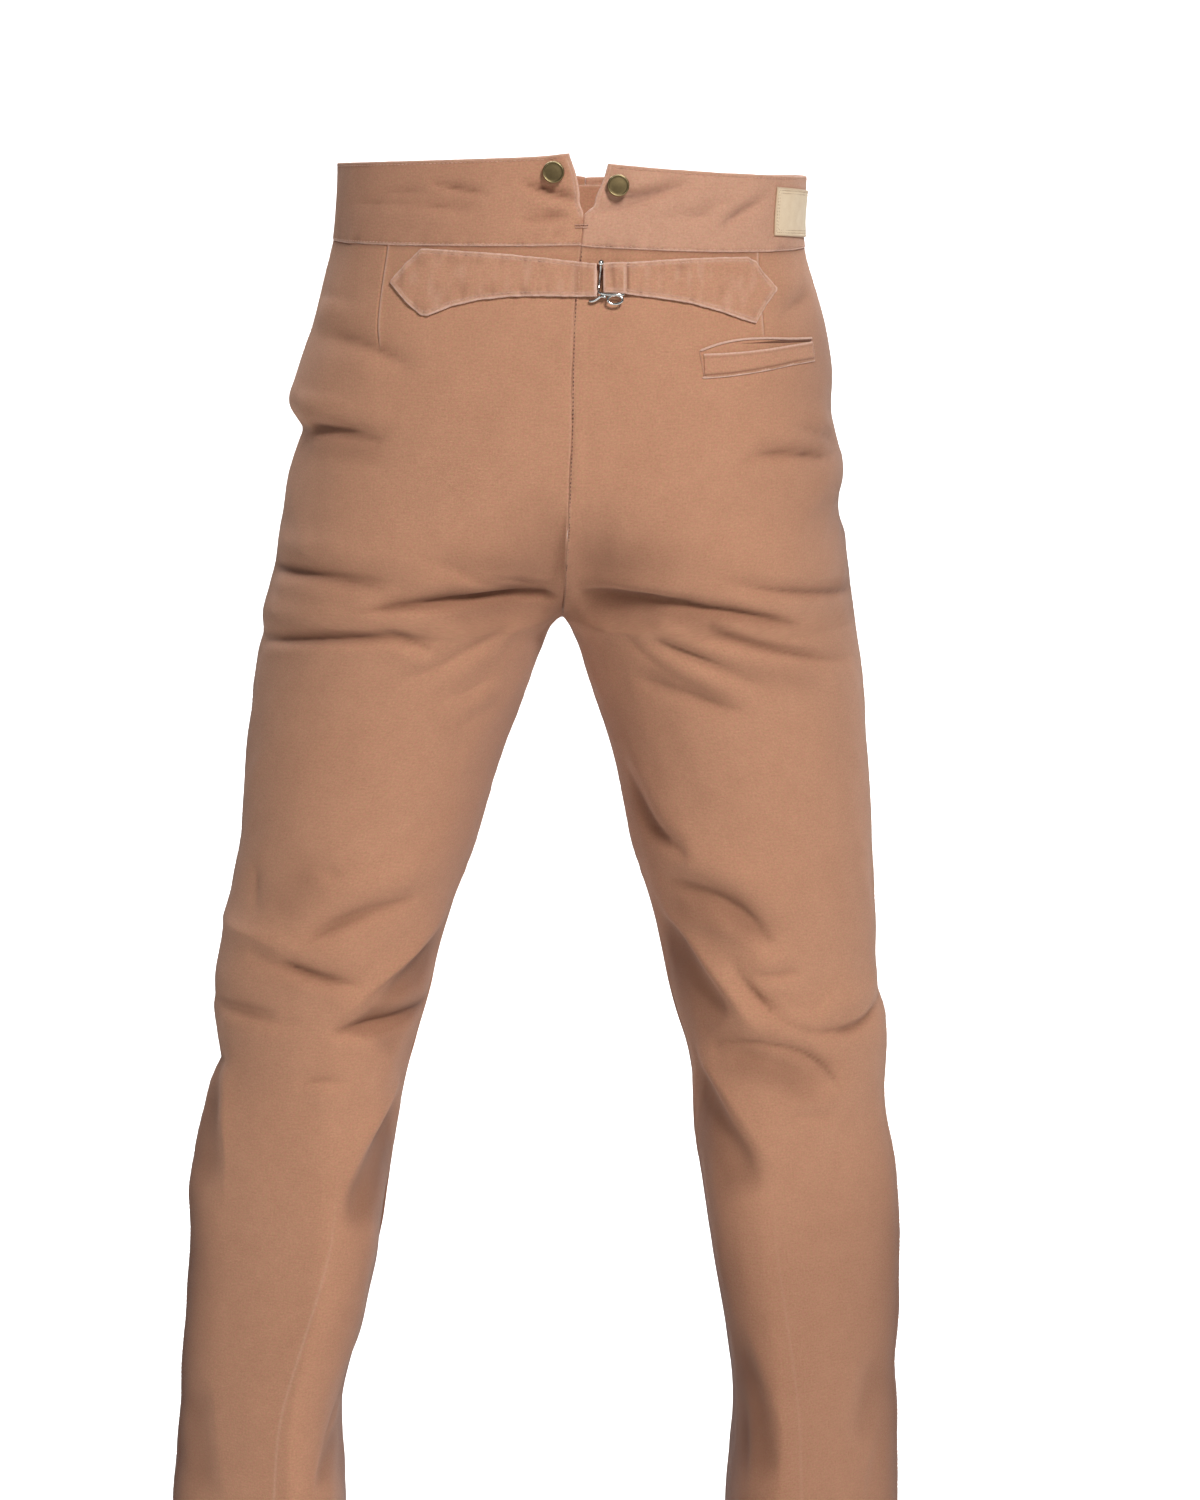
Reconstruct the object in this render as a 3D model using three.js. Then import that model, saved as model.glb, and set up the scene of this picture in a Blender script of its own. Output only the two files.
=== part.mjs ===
// Canvas work trousers, worn: two backs, two fronts, a split waistband with a fishtail notch, a
// cinch strap with a wire buckle, one welted back pocket, a patch and brace buttons.
// Millimetres, +Z up, back towards +Y, the wearer's left towards +X. The origin is the middle of
// the waist opening. Every cloth piece is a thin wall, open where the garment is open.
import * as THREE from 'three';

// ---- Driving sizes ---------------------------------------------------------------------------
const CANVAS = 1.8; // one layer of canvas with its seam allowances pressed in
const BAND_CLOTH = 2.4; // the waistband is folded double
const STRAP_CLOTH = 2.0; // the cinch straps are two layers too
const SEAM_GAP = 0.3; // between two sewn pieces
const JUST_FRONT = 1e-6; // u this much over 1 is the front's own edge of the side seam
const BAND_SEAM_Z = -41; // the band seam at the centre back
const LEVEL_Z = -120; // above this the rows of a panel bend to follow the band seam
const CROTCH_Z = -308;
const SEAT_RISE = 110; // above the crotch, where the two legs grow together
const HEM_Z = -1110;
const SEAT_FOLD = 0.28; // how far out from the centre seam the round of the seat goes, as u
const WAIST_ROUNDNESS = 2.35; // 2 is an ellipse, more is squarer
const HIP_GIRTH = 0.82; // a quarter of the hips' girth over their half width and half depth
const CREASE_BLUNT = 0.04; // the rounding of a pressed crease, as a part of the leg's half width
const SIDE_SEAM_LEAN = 6; // the side seam and inseam move forwards this much down to the hem

// How far the body of the cloth reaches at a height, and where its pressed creases stand.
// turn moves the crease of a leg sideways, and crease sharpens it.
const DEPTHS = [
  { z: 60, back: 110, front: -117, turn: 0, crease: 0 },
  { z: 0, back: 115, front: -118, turn: 0, crease: 0 },
  { z: -50, back: 122, front: -119, turn: 0, crease: 0 },
  { z: -100, back: 131, front: -119.5, turn: 0, crease: 0 },
  { z: -150, back: 138, front: -119, turn: 0, crease: 0 },
  { z: -200, back: 141, front: -118, turn: 0, crease: 0 },
  { z: -250, back: 138, front: -115, turn: 0, crease: 0 },
  { z: -300, back: 128, front: -112, turn: 0, crease: 0 },
  { z: -350, back: 114, front: -108, turn: -0.02, crease: 0 },
  { z: -420, back: 101, front: -104, turn: -0.04, crease: 0 },
  { z: -500, back: 90, front: -101, turn: -0.09, crease: 0.03 },
  { z: -600, back: 79, front: -98, turn: -0.18, crease: 0.06 },
  { z: -680, back: 74, front: -95, turn: -0.33, crease: 0.13 },
  { z: -760, back: 73, front: -89, turn: -0.46, crease: 0.2 },
  { z: -860, back: 75, front: -85, turn: -0.46, crease: 0.27 },
  { z: -960, back: 77, front: -83, turn: -0.43, crease: 0.3 },
  { z: -1110, back: 79, front: -82, turn: -0.4, crease: 0.32 },
];

// The centre back and centre front seam.
const CENTRE = [
  { z: 60, x: -9 },
  { z: -30, x: -8 },
  { z: -76, x: -3 },
  { z: -176, x: 0 },
  { z: -293, x: 6 },
  { z: -308, x: 7.3 },
];

// The side seam and, below the crotch, the inseam of each side.
const LEFT_SIDE = [
  { z: 60, side: 160 },
  { z: 0, side: 162 },
  { z: -45, side: 166 },
  { z: -75, side: 172.5 },
  { z: -105, side: 181 },
  { z: -150, side: 194.5 },
  { z: -180, side: 192 },
  { z: -210, side: 199 },
  { z: -255, side: 206 },
  { z: -308, side: 217.3 },
  { z: -350, side: 224.4 },
  { z: -410, side: 231.7 },
  { z: -470, side: 236.8 },
  { z: -530, side: 249.1 },
  { z: -590, side: 257.9 },
  { z: -630, side: 256 },
  { z: -670, side: 268.5 },
  { z: -710, side: 276.4 },
  { z: -770, side: 278.1 },
  { z: -830, side: 282.7 },
  { z: -900, side: 288.8 },
  { z: -965, side: 293.7 },
  { z: -1110, side: 302 },
];
const LEFT_INSEAM = [
  { z: -308, inseam: 7.3 },
  { z: -315, inseam: 14 },
  { z: -330, inseam: 20.8 },
  { z: -350, inseam: 27.9 },
  { z: -410, inseam: 50.2 },
  { z: -470, inseam: 68.2 },
  { z: -530, inseam: 89.5 },
  { z: -590, inseam: 104.8 },
  { z: -640, inseam: 119 },
  { z: -710, inseam: 131 },
  { z: -770, inseam: 140.8 },
  { z: -830, inseam: 153.8 },
  { z: -875, inseam: 167 },
  { z: -965, inseam: 167 },
  { z: -1110, inseam: 176 },
];
const RIGHT_SIDE = [
  { z: 60, side: -161 },
  { z: 0, side: -162 },
  { z: -45, side: -161 },
  { z: -75, side: -168 },
  { z: -105, side: -177 },
  { z: -135, side: -181.5 },
  { z: -165, side: -181 },
  { z: -210, side: -190.3 },
  { z: -228, side: -187 },
  { z: -255, side: -191.8 },
  { z: -308, side: -199 },
  { z: -350, side: -204.8 },
  { z: -410, side: -209.7 },
  { z: -530, side: -216.6 },
  { z: -575, side: -218.5 },
  { z: -595, side: -223.8 },
  { z: -670, side: -225.6 },
  { z: -710, side: -233.1 },
  { z: -750, side: -236.4 },
  { z: -810, side: -237.1 },
  { z: -860, side: -235 },
  { z: -905, side: -236.9 },
  { z: -1110, side: -236.5 },
];
const RIGHT_INSEAM = [
  { z: -308, inseam: 7.3 },
  { z: -315, inseam: 2.5 },
  { z: -330, inseam: -4 },
  { z: -350, inseam: -10.4 },
  { z: -410, inseam: -29.6 },
  { z: -470, inseam: -42 },
  { z: -530, inseam: -60 },
  { z: -575, inseam: -68 },
  { z: -630, inseam: -83.7 },
  { z: -700, inseam: -89.5 },
  { z: -750, inseam: -97.2 },
  { z: -810, inseam: -107.6 },
  { z: -870, inseam: -116 },
  { z: -965, inseam: -112 },
  { z: -1110, inseam: -110 },
];

// The top edge and the lower seam of the waistband, round one side: u runs from 0 at the centre
// back, through 1 at the side seam, to 2 at the centre front.
const LEFT_BAND = [
  { u: 0, top: 19, seam: -41 },
  { u: 0.08, top: 20.5, seam: -41 },
  { u: 0.3, top: 18, seam: -41.5 },
  { u: 0.6, top: 14.5, seam: -42.5 },
  { u: 1, top: 8, seam: -45 },
  { u: 1.5, top: -3, seam: -50 },
  { u: 2, top: -9, seam: -53 },
];
const RIGHT_BAND = [
  { u: 0, top: 17, seam: -41 },
  { u: 0.12, top: 15, seam: -42 },
  { u: 0.3, top: 12, seam: -43.5 },
  { u: 0.6, top: 6, seam: -47 },
  { u: 1, top: -1, seam: -50 },
  { u: 1.5, top: -7, seam: -52 },
  { u: 2, top: -9, seam: -53 },
];

// The notch at the centre back: how far each edge stands off the centre seam.
const NOTCH = [
  { z: 18, left: 10, right: 16 },
  { z: 4, left: 5.4, right: 12 },
  { z: -7, left: 3.3, right: 7.6 },
  { z: -15, left: 2.6, right: 5.6 },
  { z: -19.5, left: SEAM_GAP / 2, right: SEAM_GAP / 2 },
];

// Folds and creases. Each is a curve through three points on one side, given as u round the side
// and z, with the half width of its trough, the trough's depth (a ridge where it is negative), the
// height of the swell on the left of the line, and where along the line it is strongest (0 to 1).
const FOLD_COLUMNS = ['side', 'u0', 'z0', 'u1', 'z1', 'u2', 'z2', 'width', 'depth', 'swell', 'peak'];
const FOLDS = [
  // Left seat and thigh
  [1, 0.08, -289, 0.37, -282, 0.57, -286, 9, 5, 4, 0.3],
  [1, 0.08, -278, 0.37, -263, 0.52, -244, 9, 2, 1.5, 0.4],
  [1, 0.5, -276, 0.65, -266, 1, -272, 9, 3.5, 3, 0.7],
  [1, 0.39, -314, 0.62, -309, 1.05, -325, 9, 3.5, 3, 0.6],
  [1, 0.34, -321, 0.42, -331, 0.49, -339, 9, 2, 1, 0.5],
  [1, 0.54, -122, 0.72, -109, 1.02, -104, 10, 3, 2, 0.7],
  [1, 0.6, -176, 0.73, -170, 1.08, -180, 10, 5, 4.5, 0.85],
  // Left knee and calf
  [1, 0.66, -525, 0.76, -529, 1.05, -526, 10, -3, 0, 0.6],
  [1, 0.82, -478, 0.8, -498, 0.77, -517, 10, 2.5, 0, 0.5],
  [1, 0.24, -500, 0.49, -508, 0.63, -534, 11, 3.5, 2.5, 0.5],
  [1, 0.41, -561, 0.62, -550, 0.78, -545, 9, 3.5, 2, 0.5],
  [1, 0.66, -585, 0.77, -583, 1.05, -586, 10, 3, 1, 0.6],
  [1, 0.03, -592, 0.34, -593, 0.51, -595, 9, 5, 3.5, 0.5],
  [1, 0.12, -515, 0.25, -537, 0.46, -582, 14, -4, 0, 0.5],
  [1, 0.14, -642, 0.33, -670, 0.43, -708, 13, -3.5, 0, 0.5],
  [1, 0.91, -634, 0.83, -663, 0.78, -700, 11, -2.5, 0, 0.4],
  [1, 0.85, -626, 1, -632, 1.15, -632, 11, 3, 0, 0.5],
  [1, 0.16, -875, 0.3, -903, 0.4, -943, 10, 2.5, 0, 0.3],
  // Right seat and thigh
  [-1, 0.13, -284, 0.45, -285, 0.73, -307, 9, 5, 4, 0.35],
  [-1, 0.44, -304, 0.6, -313, 0.95, -338, 9, 2.5, 1.5, 0.5],
  [-1, 0.34, -313, 0.47, -328, 0.63, -347, 9, 3, 2, 0.5],
  [-1, 0.27, -338, 0.41, -349, 0.53, -362, 10, 3, 2, 0.4],
  [-1, 0.12, -403, 0.21, -448, 0.34, -469, 14, 4.5, 2, 0.5],
  [-1, 0.53, -272, 0.69, -277, 0.98, -286, 9, 2, 1.5, 0.7],
  [-1, 0.62, -184, 0.71, -183, 1, -193, 9, 2.5, 2, 0.7],
  // Right knee and calf
  [-1, 0.23, -490, 0.39, -491, 0.54, -530, 10, 4.5, 3, 0.4],
  [-1, 0.14, -510, 0.34, -550, 0.49, -596, 13, -4, 0, 0.5],
  [-1, 0.4, -537, 0.49, -567, 0.61, -585, 9, 4, 2, 0.6],
  [-1, 0.61, -585, 0.73, -598, 1.05, -578, 9, 4, 3, 0.5],
  [-1, 0.3, -609, 0.51, -611, 0.71, -640, 10, 4, 3, 0.5],
  [-1, 0.16, -620, 0.35, -653, 0.57, -708, 13, -3.5, 0, 0.5],
  // Fronts
  [1, 1.35, -238, 1.65, -262, 1.9, -284, 10, 3, 2, 0.8],
  [1, 1.3, -300, 1.65, -298, 1.97, -303, 10, 3, 2, 0.8],
  [1, 1.2, -548, 1.45, -560, 1.75, -552, 11, 3, 2, 0.5],
  [1, 1.3, -612, 1.55, -600, 1.8, -608, 11, 2.5, 2, 0.5],
  [1, 1.4, -1058, 1.6, -1066, 1.85, -1060, 12, 3, 2, 0.5],
  [-1, 1.32, -232, 1.62, -258, 1.9, -282, 10, 3, 2, 0.8],
  [-1, 1.25, -308, 1.6, -304, 1.97, -305, 10, 3, 2, 0.8],
  [-1, 1.25, -556, 1.5, -546, 1.8, -556, 11, 3, 2, 0.5],
  [-1, 1.2, -604, 1.5, -614, 1.75, -604, 11, 2.5, 2, 0.5],
  [-1, 1.35, -1062, 1.6, -1054, 1.85, -1064, 12, 3, 2, 0.5],
];
const FOLD_STEPS = 10; // straight pieces that stand for a fold's curve
const SWELL_OFFSET = 1.8; // half widths from the trough to the middle of the swell
const SWELL_WIDTH = 1.15; // half widths

// Where the walls are divided: rows between heights, columns across a panel.
const BACK_ROWS = [
  { from: BAND_SEAM_Z, to: LEVEL_Z, count: 4 },
  { from: LEVEL_Z, to: CROTCH_Z + SEAT_RISE, count: 4 },
  { from: CROTCH_Z + SEAT_RISE, to: CROTCH_Z, count: 8, closing: true },
  { from: CROTCH_Z, to: -350, count: 4 },
  { from: -350, to: -700, count: 19 },
  { from: -700, to: HEM_Z, count: 14 },
];
const FRONT_ROWS = [
  { from: BAND_SEAM_Z, to: LEVEL_Z, count: 2 },
  { from: LEVEL_Z, to: CROTCH_Z + SEAT_RISE, count: 2 },
  { from: CROTCH_Z + SEAT_RISE, to: CROTCH_Z, count: 6, closing: true },
  { from: CROTCH_Z, to: -350, count: 2 },
  { from: -350, to: -700, count: 12 },
  { from: -700, to: HEM_Z, count: 10 },
];
const BACK_COLUMNS = 16;
const FRONT_COLUMNS = 10;
const BAND_COLUMNS = 26;
const BAND_ROWS = [0, 0.18, 0.355, 0.43, 0.58, 0.78, 1]; // parts of its height
const NOTCH_REACH = 0.6; // how far round the band its columns make room for the notch, as u
const BAND_PROUD = 0.5; // the band stands this much outside the panels

// The cinch straps on the back: x across, and the top and bottom edge there. lift is how far the
// strap stands off the back.
const LEFT_STRAP = [
  { x: 121.5, top: -66.5, bottom: -68.5, lift: 0.9 },
  { x: 111, top: -54.5, bottom: -80, lift: 0.9 },
  { x: 101, top: -44.5, bottom: -88.5, lift: 0.9 },
  { x: 96, top: -44.2, bottom: -88.8, lift: 0.9 },
  { x: 80, top: -44.8, bottom: -82, lift: 0.9 },
  { x: 62, top: -45.6, bottom: -77.5, lift: 0.9 },
  { x: 40, top: -47, bottom: -75, lift: 1 },
  { x: 18, top: -49, bottom: -74.6, lift: 1.2 },
  { x: -2, top: -51.3, bottom: -75, lift: 1.5 },
  { x: -17.5, top: -53, bottom: -75.2, lift: 1.8 },
];
const RIGHT_STRAP = [
  { x: -22, top: -52.8, bottom: -72.5, lift: 3.4 },
  { x: -29, top: -52.2, bottom: -72.8, lift: 3.8 },
  { x: -36, top: -52.2, bottom: -73.2, lift: 3.4 },
  { x: -41, top: -52, bottom: -74, lift: 2.2 },
  { x: -60, top: -50.8, bottom: -76.3, lift: 1.4 },
  { x: -80, top: -50, bottom: -80, lift: 1 },
  { x: -100, top: -49.8, bottom: -86, lift: 0.9 },
  { x: -119, top: -50.5, bottom: -93.5, lift: 0.9 },
  { x: -124, top: -53.5, bottom: -95, lift: 0.9 },
  { x: -131, top: -63, bottom: -84.5, lift: 0.9 },
  { x: -138, top: -72.5, bottom: -74.5, lift: 0.9 },
];
const STRAP_ROWS = 4;

// The wire buckle between the straps.
const BUCKLE_WIRE = 2.1;
const BUCKLE = { left: -19.6, right: -36.6, top: -54.2, bottom: -75.2, corner: 3, lift: 1.9 };
const BUCKLE_LOOP = { left: -24.6, right: -36.4, top: -77.8, bottom: -82.2, corner: 2, lift: 2.6 };
const WIRE_SIDES = 8;
const CORNER_STEPS = 4;

// The pocket welt on the right back and the patch on the right of the band, in u and z.
const WELT = { from: 0.5, to: 0.825, top: [-112.5, -112], bottom: [-127.5, -126.5], thick: 1.8 };
const PATCH = { from: 0.745, to: 1.02, top: [-4.5, -11], bottom: [-36.5, -43], thick: 1.4 };
const LAID_LIFT = 0.7; // between a panel and what is sewn on it
const SHORTEST_U = 0.01; // no facet of a laid piece is shorter than this, as u

// The fly: an underlap behind the centre front, and the button of the band.
const UNDERLAP = { left: 20, right: -24, top: -14, bottom: -195, inside: 3.4, thick: 1.8 };
const UNDERLAP_ROWS = 10;
const UNDERLAP_COLUMNS = 4;

// Metal buttons: a cap on a short post. Brace buttons stand in pairs at the front.
const BUTTON_CAP = 15; // diameter
const BUTTON_CAP_DEPTH = 2.6;
const BUTTON_POST = 5; // diameter
const BUTTON_POST_LENGTH = 2.4;
const BUTTON_FLAT = 10.4; // diameter of the flat middle of the cap
const BUTTON_RIM = 0.5; // how far the rim stands above the flat middle
const BUTTON_ROUND = 0.7; // the rounding of the cap's edges
const BUTTONS = [
  { name: 'brace_button_back_left', x: 11.5, z: 7.5 },
  { name: 'brace_button_back_right', x: -31.5, z: -1.5 },
  { name: 'brace_button_front_left_inner', x: 62, z: -20, front: true },
  { name: 'brace_button_front_left_outer', x: 112, z: -17, front: true },
  { name: 'brace_button_front_right_inner', x: -78, z: -20, front: true },
  { name: 'brace_button_front_right_outer', x: -126, z: -19, front: true },
  { name: 'waist_button', x: 4, z: -32, front: true },
];
const BUTTON_SIDES = 16;

// ---- Colours ---------------------------------------------------------------------------------
const canvas = new THREE.MeshStandardMaterial({ color: 0xb98a6e, roughness: 0.9, metalness: 0 });
const canvasDark = new THREE.MeshStandardMaterial({ color: 0xa97c62, roughness: 0.9, metalness: 0 });
const patchHide = new THREE.MeshStandardMaterial({ color: 0xdcc39e, roughness: 0.7, metalness: 0 });
const nickel = new THREE.MeshStandardMaterial({ color: 0xc9ccd0, roughness: 0.25, metalness: 1 });
const brass = new THREE.MeshStandardMaterial({ color: 0x5e4f33, roughness: 0.45, metalness: 1 });

// ---- The surface of the cloth ----------------------------------------------------------------
/** A smooth curve through one column of a table whose rows are ordered by key. */
function smooth(table, key, column, at) {
  const last = table.length - 1;
  const rising = table[last][key] > table[0][key] ? 1 : -1;
  const place = (row) => row[key] * rising;
  const q = THREE.MathUtils.clamp(at * rising, place(table[0]), place(table[last]));
  let i = 0;
  while (i < last - 1 && place(table[i + 1]) <= q) i += 1;
  const step = (k) => place(table[k + 1]) - place(table[k]);
  const slope = (k) => (table[k + 1][column] - table[k][column]) / step(k);
  const tangent = (k) => {
    if (k === 0) return slope(0);
    if (k === last) return slope(last - 1);
    return (slope(k - 1) * step(k) + slope(k) * step(k - 1)) / (step(k - 1) + step(k));
  };
  const h = step(i);
  const t = (q - place(table[i])) / h;
  const a = table[i][column] * (1 + 2 * t) * (1 - t) ** 2 + tangent(i) * h * t * (1 - t) ** 2;
  return a + table[i + 1][column] * t * t * (3 - 2 * t) - tangent(i + 1) * h * t * t * (1 - t);
}

const centreX = (z) => smooth(CENTRE, 'z', 'x', z);
const sideX = (side, z) => smooth(side > 0 ? LEFT_SIDE : RIGHT_SIDE, 'z', 'side', z);
const seamY = (z) => (SIDE_SEAM_LEAN * z) / -HEM_Z;

/** The inseam below the crotch, and the centre seam above it, half a seam gap off the middle. */
function innerX(side, z) {
  if (z >= CROTCH_Z) return centreX(z) + (side * SEAM_GAP) / 2;
  return smooth(side > 0 ? LEFT_INSEAM : RIGHT_INSEAM, 'z', 'inseam', z);
}

/** 0 on the hips and 1 from the crotch down. At the centre seam it follows the round of the seat. */
function legShare(t, z) {
  const s = THREE.MathUtils.clamp((z - CROTCH_Z) / SEAT_RISE, 0, 1);
  const seat = 1 - Math.sqrt(1 - (1 - s) ** 2);
  const even = 1 - THREE.MathUtils.smoothstep(s, 0, 1);
  return seat + (even - seat) * THREE.MathUtils.smoothstep(t, 0, SEAT_FOLD);
}

/** A point of the smooth cloth: u is 0 to 1 over the back and 1 to 2 over the front. */
function bodyPoint(side, u, z) {
  const front = u > 1;
  const t = Math.max(front ? 2 - u : u, 0);
  const far = smooth(DEPTHS, 'z', front ? 'front' : 'back', z);
  const seam = seamY(z) + (front ? -SEAM_GAP : SEAM_GAP) / 2;
  const outer = sideX(side, z);
  const inner = innerX(side, z);
  const c = Math.cos(Math.PI * t);
  const across = (1 - c) / 2;
  const turn = smooth(DEPTHS, 'z', 'turn', z) * (front ? -1 : 1);
  const x = inner + (outer - inner) * (across + (turn * (1 - c * c)) / 2);
  const hip = (1 - across ** WAIST_ROUNDNESS) ** (1 / WAIST_ROUNDNESS);
  const crease = smooth(DEPTHS, 'z', 'crease', z);
  const round = Math.sqrt(Math.max(1 - c * c, 0));
  const blunt = (x) => Math.hypot(x, CREASE_BLUNT) - CREASE_BLUNT;
  const ridge = 1 - blunt(c) / blunt(1);
  const leg = (1 - crease) * round + crease * ridge;
  const deep = hip + (leg - hip) * legShare(t, z);
  return new THREE.Vector3(x, seam + (far - seam) * deep, z);
}

/** The length of cloth round half of one side, which turns u into millimetres. */
function girth(side, z) {
  const width = Math.abs(sideX(side, z) - innerX(side, z));
  const depth = smooth(DEPTHS, 'z', 'back', z);
  const leg = legShare(1, z);
  const hip = HIP_GIRTH * (width + depth);
  return hip + leg * (((Math.PI / Math.SQRT2) * Math.hypot(width / 2, depth)) - hip);
}

const FOLD_LINES = FOLDS.map((row) => {
  const fold = Object.fromEntries(FOLD_COLUMNS.map((name, k) => [name, row[k]]));
  const bendU = 2 * fold.u1 - (fold.u0 + fold.u2) / 2;
  const bendZ = 2 * fold.z1 - (fold.z0 + fold.z2) / 2;
  fold.line = [];
  for (let k = 0; k <= FOLD_STEPS; k += 1) {
    const t = k / FOLD_STEPS;
    const u = fold.u0 * (1 - t) ** 2 + 2 * bendU * t * (1 - t) + fold.u2 * t * t;
    const z = fold.z0 * (1 - t) ** 2 + 2 * bendZ * t * (1 - t) + fold.z2 * t * t;
    fold.line.push({ u, z });
  }
  return fold;
});

/** How far one fold moves the cloth at a point, outwards. */
function foldHeight(fold, u, z, round) {
  let nearest = Infinity;
  let off = 0;
  let along = 0;
  for (let k = 0; k < FOLD_STEPS; k += 1) {
    const a = fold.line[k];
    const b = fold.line[k + 1];
    const bx = (b.u - a.u) * round;
    const bz = b.z - a.z;
    const px = (u - a.u) * round;
    const pz = z - a.z;
    const length = bx * bx + bz * bz;
    const t = THREE.MathUtils.clamp((px * bx + pz * bz) / length, 0, 1);
    const gap = Math.hypot(px - t * bx, pz - t * bz);
    if (gap < nearest) {
      nearest = gap;
      off = gap * Math.sign(bx * pz - bz * px || 1);
      along = (k + t) / FOLD_STEPS;
    }
  }
  const rise = along < fold.peak ? along / fold.peak : (1 - along) / (1 - fold.peak);
  const q = off / fold.width;
  const trough = -fold.depth * Math.exp(-q * q);
  const swell = fold.swell * Math.exp(-(((q - SWELL_OFFSET) / SWELL_WIDTH) ** 2));
  return (trough + swell) * Math.sin((Math.PI * rise) / 2);
}

/** All folds of one side at a point. */
function folds(side, u, z) {
  const round = girth(side, z);
  const here = FOLD_LINES.filter((fold) => fold.side === side);
  return here.reduce((sum, fold) => sum + foldHeight(fold, u, z, round), 0);
}

/** The outward direction of the smooth cloth at a point. */
function outward(side, u, z) {
  const low = u <= 1 ? 0 : 1;
  const du = 0.004;
  const dz = 1;
  const across = bodyPoint(side, Math.min(u + du, low + 1), z);
  across.sub(bodyPoint(side, Math.max(u - du, low + low * JUST_FRONT), z));
  const up = bodyPoint(side, u, z + dz).sub(bodyPoint(side, u, z - dz));
  return across.cross(up).multiplyScalar(-side).normalize();
}

// ---- Walls -----------------------------------------------------------------------------------
/** A geometry from points and triangles that close on themselves, turned to face outwards. */
function closedBody(points, triangles) {
  let volume = 0;
  for (let k = 0; k < triangles.length; k += 3) {
    const [a, b, c] = [0, 1, 2].map((n) => points[triangles[k + n]]);
    volume += a.dot(b.clone().cross(c));
  }
  if (volume < 0) {
    for (let k = 0; k < triangles.length; k += 3) {
      [triangles[k + 1], triangles[k + 2]] = [triangles[k + 2], triangles[k + 1]];
    }
  }
  const geometry = new THREE.BufferGeometry();
  geometry.setAttribute('position', new THREE.Float32BufferAttribute(points.flatMap((p) => p.toArray()), 3));
  geometry.setIndex(triangles);
  geometry.computeVertexNormals();
  return geometry;
}

/** One closed body from two grids of points, the outer and the inner face of a wall. */
function wall(outer, inner) {
  const rows = outer.length;
  const columns = outer[0].length;
  const points = [...outer.flat(), ...inner.flat()];
  const face = rows * columns;
  const at = (layer, i, j) => layer * face + i * columns + j;
  const triangles = [];
  const quad = (a, b, c, d) => triangles.push(a, b, c, a, c, d);
  for (let i = 0; i < rows - 1; i += 1) {
    for (let j = 0; j < columns - 1; j += 1) {
      quad(at(0, i, j), at(0, i, j + 1), at(0, i + 1, j + 1), at(0, i + 1, j));
      quad(at(1, i, j), at(1, i + 1, j), at(1, i + 1, j + 1), at(1, i, j + 1));
    }
  }
  for (let j = 0; j < columns - 1; j += 1) {
    quad(at(0, 0, j), at(1, 0, j), at(1, 0, j + 1), at(0, 0, j + 1));
    quad(at(0, rows - 1, j), at(0, rows - 1, j + 1), at(1, rows - 1, j + 1), at(1, rows - 1, j));
  }
  for (let i = 0; i < rows - 1; i += 1) {
    quad(at(0, i, 0), at(0, i + 1, 0), at(1, i + 1, 0), at(1, i, 0));
    quad(at(0, i, columns - 1), at(1, i, columns - 1), at(1, i + 1, columns - 1), at(0, i + 1, columns - 1));
  }
  return closedBody(points, triangles);
}

/** The outward direction at each point of a grid, from the facets round it. */
function gridNormals(grid, away) {
  return grid.map((row, i) => row.map((point, j) => {
    const up = grid[Math.max(i - 1, 0)][j].clone().sub(grid[Math.min(i + 1, grid.length - 1)][j]);
    const across = row[Math.min(j + 1, row.length - 1)].clone().sub(row[Math.max(j - 1, 0)]);
    const normal = up.cross(across).normalize();
    return normal.dot(away(i, j)) < 0 ? normal.negate() : normal;
  }));
}

/** The heights of the rows of a panel. A closing span has its rows close together at its end. */
function rowHeights(spans) {
  const heights = [spans[0].from];
  for (const { from, to, count, closing } of spans) {
    for (let k = 1; k <= count; k += 1) {
      const share = closing ? 1 - (1 - k / count) ** 2 : k / count;
      heights.push(from + (to - from) * share);
    }
  }
  return heights;
}

const bandTable = (side) => (side > 0 ? LEFT_BAND : RIGHT_BAND);

/** The height of a panel's row at u: the top rows follow the band seam. */
function rowZ(side, row, u) {
  const seam = smooth(bandTable(side), 'u', 'seam', u) - BAND_SEAM_Z;
  const share = THREE.MathUtils.clamp((row - LEVEL_Z) / (BAND_SEAM_Z - LEVEL_Z), 0, 1);
  return row + seam * share;
}

/** Keeps a point on its own side of the seams at the edges of its panel. */
function holdAtSeams(point, side, front, edge) {
  if (point.z >= CROTCH_Z) {
    const middle = centreX(point.z) + (side * SEAM_GAP) / 2;
    if ((point.x - middle) * side < 0) point.x = middle;
  }
  if (edge) {
    const seam = seamY(point.z) + (front ? -SEAM_GAP : SEAM_GAP) / 2;
    point.y = front ? Math.min(point.y, seam) : Math.max(point.y, seam);
  }
  return point;
}

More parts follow.
